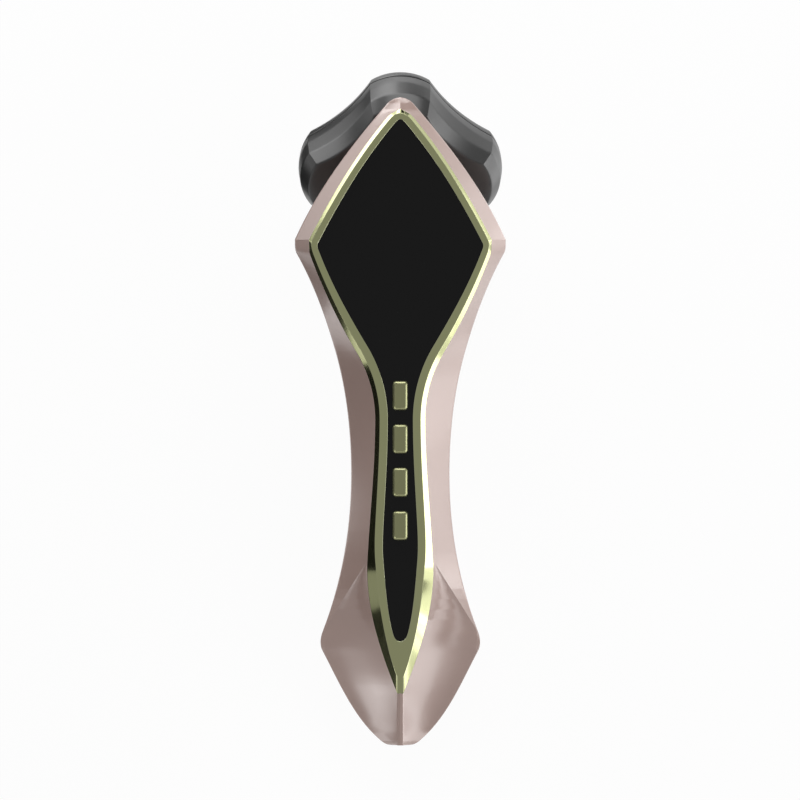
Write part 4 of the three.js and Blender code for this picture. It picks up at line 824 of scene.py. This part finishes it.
def build_lobed(name, rings, sizes):
    """Lobed piece through rings of radius, height and hollow, with small rounds between them."""
    profile = [Vector((radius, height)) for radius, height, _ in rings]
    hollows = [hollow for _, _, hollow in rings]
    rows = [lobed_ring(*profile[0], hollows[0])]
    for before, corner, after, hollow in zip(profile, profile[1:], profile[2:], hollows[1:]):
        for point in fillet(before, corner, after, sizes.head_round, 2):
            rows.append(lobed_ring(*point, hollow))
    rows.append(lobed_ring(*profile[-1], hollows[-1]))
    return shade(closed_mesh(name, rows), HEAD_SHARP_ANGLE)


def build_turned(name, corners, radius, x=0, y=0, steps=TURNED_STEPS):
    """Turned piece of the head at a place on it."""
    place = HEAD @ Matrix.Translation((x, y, 0))
    return shade(closed_mesh(name, turned(smooth_profile(corners, radius), steps, place)))


def dome(radius, base, rise, steps=10):
    """Quarter ellipse from a rim up to the middle, as (radius, height) pairs."""
    points = []
    for i in range(steps):
        angle = math.radians(90 * i / steps)
        points.append((radius * math.cos(angle), base + rise * math.sin(angle)))
    return points


# Finishes

# Edge mask bounds: the mask lightens edges as wear and as a painted highlight, and makes them glossier.
EDGE_MASK_FLAT = 0.995
EDGE_MASK_BENT = 0.85
RUB_GLOSS = 0.3
GRAIN_HEIGHT = 0.0001
COLOUR, NUMBER = "NodeSocketColor", "NodeSocketFloat"
GROUPS = {}
MATERIALS = {}


def set_inputs(node, values):
    """Sets a node's inputs by their names."""
    for name, value in values.items():
        node.inputs[name].default_value = value


def new_group(name, inputs, outputs):
    """Empty shader node group with named sockets."""
    group = bpy.data.node_groups.new(name, "ShaderNodeTree")
    for label, kind, default in inputs:
        socket = group.interface.new_socket(label, in_out="INPUT", socket_type=kind)
        socket.default_value = default
    for label, kind in outputs:
        group.interface.new_socket(label, in_out="OUTPUT", socket_type=kind)
    return group, group.nodes.new("NodeGroupInput"), group.nodes.new("NodeGroupOutput")


def math_node(tree, operation, a, b):
    """Math node whose inputs are sockets or numbers; returns its output."""
    node = tree.nodes.new("ShaderNodeMath")
    node.operation = operation
    for socket, value in zip(node.inputs, (a, b)):
        if isinstance(value, (int, float)):
            socket.default_value = value
        else:
            tree.links.new(value, socket)
    return node.outputs[0]


def mottle_group():
    """Slow drift of colour and gloss with a fine grain on top."""
    group, start, end = new_group("Mottle", [
        ("Base", COLOUR, (0.5, 0.5, 0.5, 1)),
        ("Colour Drift", NUMBER, 0.06),
        ("Roughness", NUMBER, 0.4),
        ("Roughness Drift", NUMBER, 0.06),
        ("Patch Scale", NUMBER, 60.0),
        ("Grain Scale", NUMBER, 2500.0),
    ], [("Colour", COLOUR), ("Roughness", NUMBER), ("Grain", NUMBER)])
    nodes, links = group.nodes, group.links
    place = nodes.new("ShaderNodeTexCoord").outputs["Object"]
    patches, grain = nodes.new("ShaderNodeTexNoise"), nodes.new("ShaderNodeTexNoise")
    for texture, scale, detail in ((patches, "Patch Scale", 3), (grain, "Grain Scale", 2)):
        links.new(place, texture.inputs["Vector"])
        links.new(start.outputs[scale], texture.inputs["Scale"])
        set_inputs(texture, {"Detail": detail})
    drift = math_node(group, "SUBTRACT", patches.outputs["Fac"], 0.5)
    shift = math_node(group, "MULTIPLY", drift, start.outputs["Colour Drift"])
    tint = nodes.new("ShaderNodeHueSaturation")
    links.new(start.outputs["Base"], tint.inputs["Color"])
    links.new(math_node(group, "ADD", shift, 1.0), tint.inputs["Value"])
    links.new(tint.outputs["Color"], end.inputs["Colour"])
    rough_shift = math_node(group, "MULTIPLY", drift, start.outputs["Roughness Drift"])
    rough = math_node(group, "ADD", rough_shift, start.outputs["Roughness"])
    links.new(rough, end.inputs["Roughness"])
    links.new(grain.outputs["Fac"], end.inputs["Grain"])
    return group


def rubbed_edges_and_highlight_group():
    """Edges, where handling makes a finish glossier and a lighter edge colour is mixed in: partly wear, partly a
    painted highlight along the rims.
    """
    group, start, end = new_group("Rubbed edges and painted highlight", [
        ("Colour", COLOUR, (0.5, 0.5, 0.5, 1)),
        ("Edge Wear And Highlight Colour", COLOUR, (0.8, 0.8, 0.8, 1)),
        ("Roughness", NUMBER, 0.4),
        ("Amount", NUMBER, 0.5),
        ("Reach", NUMBER, 0.0004),
    ], [("Colour", COLOUR), ("Roughness", NUMBER)])
    nodes, links = group.nodes, group.links
    rounded = nodes.new("ShaderNodeBevel")
    rounded.samples = 4
    links.new(start.outputs["Reach"], rounded.inputs["Radius"])
    flatness = nodes.new("ShaderNodeVectorMath")
    flatness.operation = "DOT_PRODUCT"
    links.new(rounded.outputs["Normal"], flatness.inputs[0])
    links.new(nodes.new("ShaderNodeNewGeometry").outputs["Normal"], flatness.inputs[1])
    narrow = nodes.new("ShaderNodeMapRange")
    set_inputs(narrow, {"From Min": EDGE_MASK_FLAT, "From Max": EDGE_MASK_BENT})
    links.new(flatness.outputs["Value"], narrow.inputs["Value"])
    mask = math_node(group, "MULTIPLY", narrow.outputs["Result"], start.outputs["Amount"])
    dulling = math_node(group, "SUBTRACT", 1.0, math_node(group, "MULTIPLY", mask, RUB_GLOSS))
    rough = math_node(group, "MULTIPLY", start.outputs["Roughness"], dulling)
    links.new(rough, end.inputs["Roughness"])
    mix = nodes.new("ShaderNodeMix")
    mix.data_type = "RGBA"
    links.new(mask, mix.inputs["Factor"])
    links.new(start.outputs["Colour"], mix.inputs[6])
    links.new(start.outputs["Edge Wear And Highlight Colour"], mix.inputs[7])
    links.new(mix.outputs[2], end.inputs["Colour"])
    return group


def place_group(tree, name, build, values):
    """Places a shared group in a material, building it the first time."""
    if name not in GROUPS:
        GROUPS[name] = build()
    node = tree.nodes.new("ShaderNodeGroup")
    node.node_tree = GROUPS[name]
    set_inputs(node, values)
    return node


def new_material(name, values):
    """Material with its shader's values set; returns its node tree and shader too."""
    material = bpy.data.materials.new(name)
    material.use_nodes = True
    shader = material.node_tree.nodes["Principled BSDF"]
    set_inputs(shader, values)
    return material, material.node_tree, shader


def finish(name, colour, roughness, metallic=0.0, drift=0.05, rough_drift=0.06, grain=2500.0,
           bump=0.02, edge=None, coat=0.0, coat_rough=0.1, coat_ior=1.5, specular=0.5):
    """Coated, plated or moulded finish with drift, grain and rubbed edges whose lighter colour is partly wear and
    partly a painted highlight.
    """
    material, tree, shader = new_material(name, {
        "Metallic": metallic, "Coat Weight": coat, "Coat Roughness": coat_rough,
        "Coat IOR": coat_ior, "Specular IOR Level": specular,
    })
    links = tree.links
    worn_and_highlit = mottle = place_group(tree, "Mottle", mottle_group, {
        "Base": (*colour, 1), "Colour Drift": drift, "Roughness": roughness,
        "Roughness Drift": rough_drift, "Grain Scale": grain,
    })
    if edge:
        worn_and_highlit = place_group(tree, "Rubbed edges and painted highlight", rubbed_edges_and_highlight_group, {"Edge Wear And Highlight Colour": (*edge, 1)})
        for label in ("Colour", "Roughness"):
            links.new(mottle.outputs[label], worn_and_highlit.inputs[label])
    links.new(worn_and_highlit.outputs["Colour"], shader.inputs["Base Color"])
    links.new(worn_and_highlit.outputs["Roughness"], shader.inputs["Roughness"])
    raise_grain = tree.nodes.new("ShaderNodeBump")
    set_inputs(raise_grain, {"Strength": bump, "Distance": GRAIN_HEIGHT})
    links.new(mottle.outputs["Grain"], raise_grain.inputs["Height"])
    links.new(raise_grain.outputs["Normal"], shader.inputs["Normal"])
    return material


def make_finishes(looks):
    """All the finishes of the massager, by a maker's name."""
    MATERIALS.update({
        "rose": finish("Rose-gold satin coat", looks.rose_gold, looks.rose_roughness, 0.1,
                       bump=0.03, edge=(0.6, 0.45, 0.4), specular=0.2,
                       coat=1.0, coat_rough=0.22, coat_ior=2.0),
        # The trim's near-white edge colour is a painted highlight along the bevel's rims, on top of the rubbed
        # wear.
        "gold": finish("Olive-gold plate", looks.gold, looks.gold_roughness, 1.0, drift=0.03,
                       rough_drift=0.03, bump=0.01, edge=(0.8, 0.8, 0.66)),
        "key": finish("Olive-gold satin key", looks.key_gold, 0.34, 0.9, drift=0.04, bump=0.05,
                      grain=4000.0, edge=(0.62, 0.63, 0.4)),
        "window": finish("Gloss black window", (0.005, 0.005, 0.005), 0.06, drift=0.02,
                         rough_drift=0.01, bump=0.0, specular=0.25),
        "head": finish("Black head moulding", looks.head_black, 0.34, drift=0.06, bump=0.05,
                       edge=(0.03, 0.03, 0.03), specular=0.9),
        "electrode": finish("Polished electrode", (0.8, 0.8, 0.82), 0.06, 1.0, drift=0.01,
                            rough_drift=0.03, bump=0.0),
        "lens": finish("Frosted lens", (0.85, 0.8, 0.77), 0.3, drift=0.02),
        "rubber": finish("Soft black seal", (0.02, 0.02, 0.02), 0.75, bump=0.15),
        "steel": finish("Plated steel", (0.55, 0.55, 0.56), 0.3, 1.0, drift=0.04, bump=0.05,
                        edge=(0.7, 0.7, 0.7)),
        "board": finish("Green board", (0.02, 0.11, 0.05), 0.5, drift=0.1, bump=0.1),
        "dark": finish("Dark moulding", (0.03, 0.03, 0.03), 0.5, bump=0.08),
        "cell": finish("Shrink wrap", (0.04, 0.15, 0.26), 0.35, bump=0.05),
        "strap": finish("Grey strap", (0.1, 0.1, 0.1), 0.8, bump=0.3),
    })


CAD_FINISHES = {
    "steel": ["charging_socket", "motor_can", "motor_shaft", "motor_weight", "motor_clamp"],
    "board": ["control_board", "light_board"],
    "dark": ["display_module", "buzzer", "controller_chip"],
    "cell": ["battery"],
    "strap": ["battery_strap"],
}


def finish_cad_nodes():
    """Gives the inner solids that stay as they are their finishes."""
    chosen = {node: finish_name for finish_name, nodes in CAD_FINISHES.items() for node in nodes}
    for name, node in frame["nodes"].items():
        if "screw" in name or name.endswith("_switch"):
            chosen[name] = "steel"
        if name.endswith("_plunger"):
            chosen[name] = "dark"
    for name, finish_name in chosen.items():
        node = frame["nodes"][name]
        node.data.materials.clear()
        node.data.materials.append(MATERIALS[finish_name])


# Settings

def length(label, about, metres):
    """Length setting; the panel shows it in the scene's units."""
    return bpy.props.FloatProperty(
        name=label, description=about, default=metres, unit="LENGTH", precision=5)


def gloss(label, about, roughness):
    return bpy.props.FloatProperty(
        name=label, description=about, default=roughness, min=0, max=1)


def colour(label, about, default):
    return bpy.props.FloatVectorProperty(
        name=label, description=about, default=default, subtype="COLOR", size=3, min=0, max=1)


class MassagerSizes(bpy.types.PropertyGroup):
    """Small sizes of the dressed surfaces."""
    trim_seam: length("Trim seam", "Gap beside the gold trim and the window", 0.00003)
    small_round: length("Small round", "Round on the shells' inner edges", 0.00006)
    edge_round: length("Edge round", "Round on the widest line of the body", 0.00055)
    band_round: length("Band round", "Round on the gold trim's edges", 0.00012)
    ridge_roof: length("Ridge roof", "How far the tail's ridge rises in its middle", 0.00015)
    surround_wall: length("Surround ledge", "Width of the ledge inside the surround's edge", 0.001)
    key_chamfer: length("Key chamfer", "Width of the bright chamfer round a key", 0.00035)
    neck_flare: length("Neck flare", "How far the neck spreads where it meets the back", 0.003)
    head_round: length("Head round", "Round on the head's edges", 0.0006)
    crease_angle: bpy.props.FloatProperty(
        name="Crease angle", description="Bends sharper than this stay hard lines",
        default=math.radians(14), subtype="ANGLE")


class MassagerLooks(bpy.types.PropertyGroup):
    """Colours and gloss."""
    rose_gold: colour("Rose gold", "Coat of the shells", (0.42, 0.295, 0.258))
    gold: colour("Gold", "Plate of the trim", (0.57, 0.59, 0.32))
    key_gold: colour("Key gold", "Plate of the keys", (0.385, 0.393, 0.21))
    head_black: colour("Head black", "Moulding of the massage head", (0.013, 0.013, 0.013))
    rose_roughness: gloss("Shell roughness", "How matt the shells are", 0.36)
    gold_roughness: gloss("Trim roughness", "How matt the gold trim is", 0.12)


def sizes_in_mm(context):
    """The length settings in the drawing's millimetres, and the crease angle in degrees."""
    settings = context.scene.massager_sizes
    sizes = SimpleNamespace(**{
        name: getattr(settings, name) / METRES_PER_MM for name in settings.__annotations__})
    sizes.crease_angle = math.degrees(settings.crease_angle)
    return sizes


class MASSAGER_OT_finishes(bpy.types.Operator):
    """Make the finishes and put them on the inner pieces"""
    bl_idname = "massager.finishes"
    bl_label = "Finishes"

    def execute(self, context):
        make_finishes(context.scene.massager_looks)
        finish_cad_nodes()
        return {"FINISHED"}


class MASSAGER_OT_shells(bpy.types.Operator):
    """Build the front surround, the back cover and the neck"""
    bl_idname = "massager.shells"
    bl_label = "Shells"

    def execute(self, context):
        sizes = sizes_in_mm(context)
        dress(build_surround(sizes), "rose", "rose_gold", "body", "front_shell")
        dress(build_back(sizes), "rose", "rose_gold", "body", "rear_shell")
        dress(build_neck(sizes), "rose", "rose_gold", "body")
        return {"FINISHED"}


class MASSAGER_OT_trim(bpy.types.Operator):
    """Build the gold trim and the black window"""
    bl_idname = "massager.trim"
    bl_label = "Trim and window"

    def execute(self, context):
        sizes = sizes_in_mm(context)
        dress(build_trim(sizes), "gold", "gold_trim", "body", "bezel")
        dress(build_window(sizes), "window", "black_window", "body", "front_panel")
        return {"FINISHED"}


class MASSAGER_OT_keys(bpy.types.Operator):
    """Build the four keys"""
    bl_idname = "massager.keys"
    bl_label = "Keys"

    def execute(self, context):
        sizes = sizes_in_mm(context)
        for name, y in zip(KEY_NAMES, key_heights()):
            key = build_key(f"{name}_key_cap", y, sizes)
            dress(key, "key", "gold_key", f"{name}_key", f"{name}_button")
        return {"FINISHED"}


class MASSAGER_OT_head(bpy.types.Operator):
    """Build the four-lobed head, its collar and its massage face"""
    bl_idname = "massager.head"
    bl_label = "Massage head"

    def execute(self, context):
        sizes = sizes_in_mm(context)
        housing = build_lobed("head_shell", HOUSING_RINGS, sizes)
        dress(housing, "head", "black_head", "body", "head_housing")
        face = build_lobed("massage_face", FACE_RINGS, sizes)
        dress(face, "head", "black_head", "body", "face_plate")
        seat, root = HEAD_HEIGHT + SEAT_CLEARANCE, HEAD_HEIGHT - STEM_DEPTH
        corners = [(ELECTRODE_STEM_RADIUS, root), (ELECTRODE_STEM_RADIUS, seat),
                   (ELECTRODE_RADIUS, seat)]
        corners += dome(ELECTRODE_RADIUS, seat + ELECTRODE_RIM, ELECTRODE_DOME - ELECTRODE_RIM)
        for side, turn in ELECTRODES.items():
            x = ELECTRODE_RING * math.cos(math.radians(turn))
            y = ELECTRODE_RING * math.sin(math.radians(turn))
            electrode = build_turned(
                f"contact_{side}", corners, SMALL_ROUND_HEAD, x, y, CONTACT_STEPS)
            dress(electrode, "electrode", "electrode_metal", "body", f"electrode_{side}")
        corners = [(LENS_RADIUS, root)] + dome(LENS_RADIUS, HEAD_HEIGHT + LENS_RIM, LENS_DOME)
        lens = build_turned("lamp_lens", corners, LENS_RIM)
        dress(lens, "lens", "lens", "body", "light_lens")
        outer, inner = NECK_RADIUS + COLLAR_STAND, NECK_RADIUS + COLLAR_STAND - COLLAR_WIDTH
        low, high = -(COLLAR_THICKNESS + SHELL_GAP), -SHELL_GAP
        groove = (low + high) / 2
        collar = build_turned("neck_seal", [
            (inner, low), (outer, low), (outer, groove - GROOVE_HALF_WIDTH),
            (outer - GROOVE_DEPTH, groove), (outer, groove + GROOVE_HALF_WIDTH),
            (outer, high), (inner, high),
        ], SMALL_ROUND_HEAD)
        dress(collar, "rubber", "seal_rubber", "body", "neck_collar")
        return {"FINISHED"}


# Studio

PHOTO_WIDTH = 0.224
PHOTO_CENTRE = Vector((-0.084, 20.16, 0))
CAMERA_DISTANCE = 5
SENSOR_WIDTH = 36
# Softboxes: name, middle, size, radiance, and the place they face unless they lie face up
LAMPS = (
    ("Right low softbox", (0.24, -0.06, 0.003), (0.22, 0.42), 1.5),
    ("Right softbox", (0.55, -0.1, 0.3), (0.4, 0.5), 1.2, (0, 0, 0.03)),
    ("Right strip light", (0.5, 0, 0.055), (0.5, 0.095), 2.2, (0, 0, 0.055)),
    ("Upper right softbox", (0.45, 0.22, 0.06), (0.2, 0.12), 2.0, (0, 0.07, 0.04)),
    ("Top left softbox", (-0.2, 0.36, 0.08), (0.4, 0.2), 2.6, (0, 0.05, 0.04)),
    ("Top softbox", (0.05, 0.45, 0.3), (0.5, 0.3), 2.5, (0, 0.05, 0.04)),
    ("Bottom left softbox", (-0.36, -0.37, 0.17), (0.2, 0.27), 1.5, (0, -0.07, 0.02)),
    ("Bottom left high softbox", (-0.245, -0.229, 0.265), (0.1, 0.1), 0.5, (0, -0.09, 0.01)),
    ("Left tail softbox", (-0.046, -0.102, 0.042), (0.013, 0.03), 1.8, (-0.004, -0.088, 0.013)),
    ("Bottom right softbox", (0.36, -0.34, 0.17), (0.3, 0.25), 1.8, (0, -0.07, 0.02)),
    ("Top floor softbox", (0, 0.25, 0.003), (0.15, 0.1), 1.5),
    ("Right near softbox", (0.085, -0.012, 0.003), (0.05, 0.045), 0.8),
    ("Right lobe softbox", (0.08, 0.075, 0.003), (0.05, 0.04), 1.2),
)
# Black cards, seen in reflections alone: name, middle, size, and the place they face, if not up
CARDS = (
    ("Left near card", (-0.095, -0.125, 0.002), (0.05, 0.31)),
    ("Left flank card", (-0.053, 0.032, 0.002), (0.02, 0.02)),
    ("Left far card", (-0.385, -0.12, 0.002), (0.53, 0.32)),
    ("Left corner card", (-0.105, 0.055, 0.002), (0.05, 0.05)),
    ("Left standing card", (-0.5, -0.05, 0.066), (0.34, 0.128), (0, -0.05, 0.066)),
    ("Left head card", (-0.065, 0.08, 0.002), (0.05, 0.05)),
    ("Upper left card", (-0.4, 0.22, 0.06), (0.2, 0.12), (0, 0.07, 0.04)),
    ("Top right card", (0.3, 0.38, 0.155), (0.25, 0.13), (0, 0.08, 0.05)),
    ("Apex card", (0.115, 0.358, 0.045), (0.125, 0.07), (0, 0.08, 0.045)),
    ("Top floor card", (0.131, 0.307, 0.002), (0.08, 0.08)),
    ("Left shoulder card", (-0.049, 0.11, 0.002), (0.036, 0.036)),
    ("Right tail low card", (0.061, -0.0625, 0.0215), (0.025, 0.011), (0, -0.0625, 0.0215)),
    ("Right tail high card", (0.07, -0.0735, 0.056), (0.029, 0.018), (0.012, -0.062, 0.018)),
    ("Upper right floor card", (0.21, 0.26, 0.002), (0.1, 0.1)),
    ("Upper left floor card", (-0.2, 0.24, 0.002), (0.08, 0.08)),
    ("Left wall card", (-0.24, 0.155, 0.002), (0.09, 0.08)),
)
BACKDROP_RADIUS = 5.4
BACKDROP_HEIGHT = 0.7
BACKDROP_BEND = 0.5
FLOOR_WHITENESS = 0.95
AMBIENT = 0.35


def white_to_the_eye(tree, lit):
    """Mixes plain white over a shader for camera, glossy and transmission rays."""
    ray = tree.nodes.new("ShaderNodeLightPath")
    seen = math_node(tree, "ADD", ray.outputs["Is Camera Ray"], ray.outputs["Is Glossy Ray"])
    seen = math_node(tree, "ADD", seen, ray.outputs["Is Transmission Ray"])
    part = math_node(tree, "MULTIPLY", math_node(tree, "MINIMUM", seen, 1.0), FLOOR_WHITENESS)
    white = tree.nodes.new("ShaderNodeEmission")
    set_inputs(white, {"Color": (1, 1, 1, 1), "Strength": 1.0})
    mix = tree.nodes.new("ShaderNodeMixShader")
    tree.links.new(part, mix.inputs["Fac"])
    tree.links.new(lit, mix.inputs[1])
    tree.links.new(white.outputs[0], mix.inputs[2])
    return mix.outputs[0]


class MASSAGER_OT_stage(bpy.types.Operator):
    """Lay out the floor, the lamps, the dark cards and the camera"""
    bl_idname = "massager.stage"
    bl_label = "Stage"

    def execute(self, context):
        context.scene.view_settings.view_transform = "Standard"
        self.add_floor()
        self.add_world(context.scene)
        for lamp in LAMPS:
            self.add_lamp(*lamp)
        for card in CARDS:
            self.add_card(*card)
        self.add_camera(context.scene)
        return {"FINISHED"}

    def add(self, name, data):
        """Adds an object that holds the data to the scene."""
        item = bpy.data.objects.new(name, data)
        bpy.context.scene.collection.objects.link(item)
        return item

    def aim(self, item, middle, facing):
        """Puts a lamp or card in its place and turns it to what it faces, or straight up."""
        middle = Vector(middle)
        line = Vector(facing) - middle if facing else Vector((0, 0, 1))
        turn = line.to_track_quat("-Z", "Y").to_matrix().to_4x4()
        item.matrix_world = Matrix.Translation(middle) @ turn

    def add_floor(self):
        """Round floor whose rim bends up into a low backdrop."""
        flat = BACKDROP_RADIUS - BACKDROP_BEND
        rings = [(0.0, 0.0), (flat, 0.0)]
        for k in range(1, 7):
            angle = math.radians(15 * k)
            rings.append((flat + BACKDROP_BEND * math.sin(angle),
                          BACKDROP_BEND - BACKDROP_BEND * math.cos(angle)))
        rings.append((BACKDROP_RADIUS, BACKDROP_HEIGHT))
        bm = bmesh.new()
        add_grid(bm, turned(rings, FLOOR_STEPS), wrap=True)
        bmesh.ops.remove_doubles(bm, verts=bm.verts[:], dist=TOUCHING)
        mesh = bpy.data.meshes.new("floor")
        bm.to_mesh(mesh)
        bm.free()
        material, tree, shader = new_material(
            "Pale floor", {"Base Color": (0.85, 0.85, 0.85, 1), "Roughness": 0.9})
        shown = white_to_the_eye(tree, shader.outputs[0])
        tree.links.new(shown, tree.nodes["Material Output"].inputs["Surface"])
        mesh.materials.append(material)
        self.add("floor", mesh)

    def add_world(self, scene):
        world = bpy.data.worlds.new("Studio")
        world.use_nodes = True
        scene.world = world
        set_inputs(world.node_tree.nodes["Background"], {
            "Color": (1, 1, 1, 1), "Strength": AMBIENT})

    def add_lamp(self, name, middle, size, radiance, facing=None):
        data = bpy.data.lights.new(name, "AREA")
        data.shape = "RECTANGLE"
        data.size, data.size_y = size
        data.energy = radiance * math.pi * size[0] * size[1]
        lamp = self.add(name, data)
        self.aim(lamp, middle, facing)
        lamp.visible_camera = False

    def add_card(self, name, middle, size, facing=None):
        x, y = size[0] / 2, size[1] / 2
        mesh = bpy.data.meshes.new(name)
        mesh.from_pydata([(-x, -y, 0), (x, -y, 0), (x, y, 0), (-x, y, 0)], [], [(0, 1, 2, 3)])
        material, _, _ = new_material(
            name, {"Base Color": (0.005, 0.005, 0.005, 1), "Roughness": 1.0})
        mesh.materials.append(material)
        card = self.add(name, mesh)
        self.aim(card, middle, facing)
        card.visible_camera = card.visible_diffuse = card.visible_shadow = False

    def add_camera(self, scene):
        data = bpy.data.cameras.new("camera")
        data.sensor_width = SENSOR_WIDTH
        data.lens = SENSOR_WIDTH * CAMERA_DISTANCE / PHOTO_WIDTH
        camera = self.add("camera", data)
        away = TURN.to_3x3() @ Vector((0, 0, CAMERA_DISTANCE))
        camera.matrix_world = Matrix.Translation(PLACE @ PHOTO_CENTRE + away) @ TURN
        scene.camera = camera


class MASSAGER_PT_panel(bpy.types.Panel):
    """Settings and build steps in the 3D view's sidebar"""
    bl_idname = "MASSAGER_PT_panel"
    bl_label = "Facial Massager"
    bl_space_type = "VIEW_3D"
    bl_region_type = "UI"
    bl_category = "Massager"

    def draw(self, context):
        layout = self.layout
        for settings in (context.scene.massager_sizes, context.scene.massager_looks):
            box = layout.box()
            for name in settings.__annotations__:
                box.prop(settings, name)
        for operator in OPERATORS:
            layout.operator(operator.bl_idname)


OPERATORS = (
    MASSAGER_OT_finishes,
    MASSAGER_OT_shells,
    MASSAGER_OT_trim,
    MASSAGER_OT_keys,
    MASSAGER_OT_head,
    MASSAGER_OT_stage,
)
CLASSES = (MassagerSizes, MassagerLooks, *OPERATORS, MASSAGER_PT_panel)


def register():
    for item in CLASSES:
        bpy.utils.register_class(item)
    bpy.types.Scene.massager_sizes = bpy.props.PointerProperty(type=MassagerSizes)
    bpy.types.Scene.massager_looks = bpy.props.PointerProperty(type=MassagerLooks)


def unregister():
    del bpy.types.Scene.massager_looks
    del bpy.types.Scene.massager_sizes
    for item in reversed(CLASSES):
        bpy.utils.unregister_class(item)


def main():
    register()
    bpy.ops.massager.finishes()
    bpy.ops.massager.shells()
    bpy.ops.massager.trim()
    bpy.ops.massager.keys()
    bpy.ops.massager.head()
    bpy.ops.massager.stage()


if __name__ == "__main__":
    main()
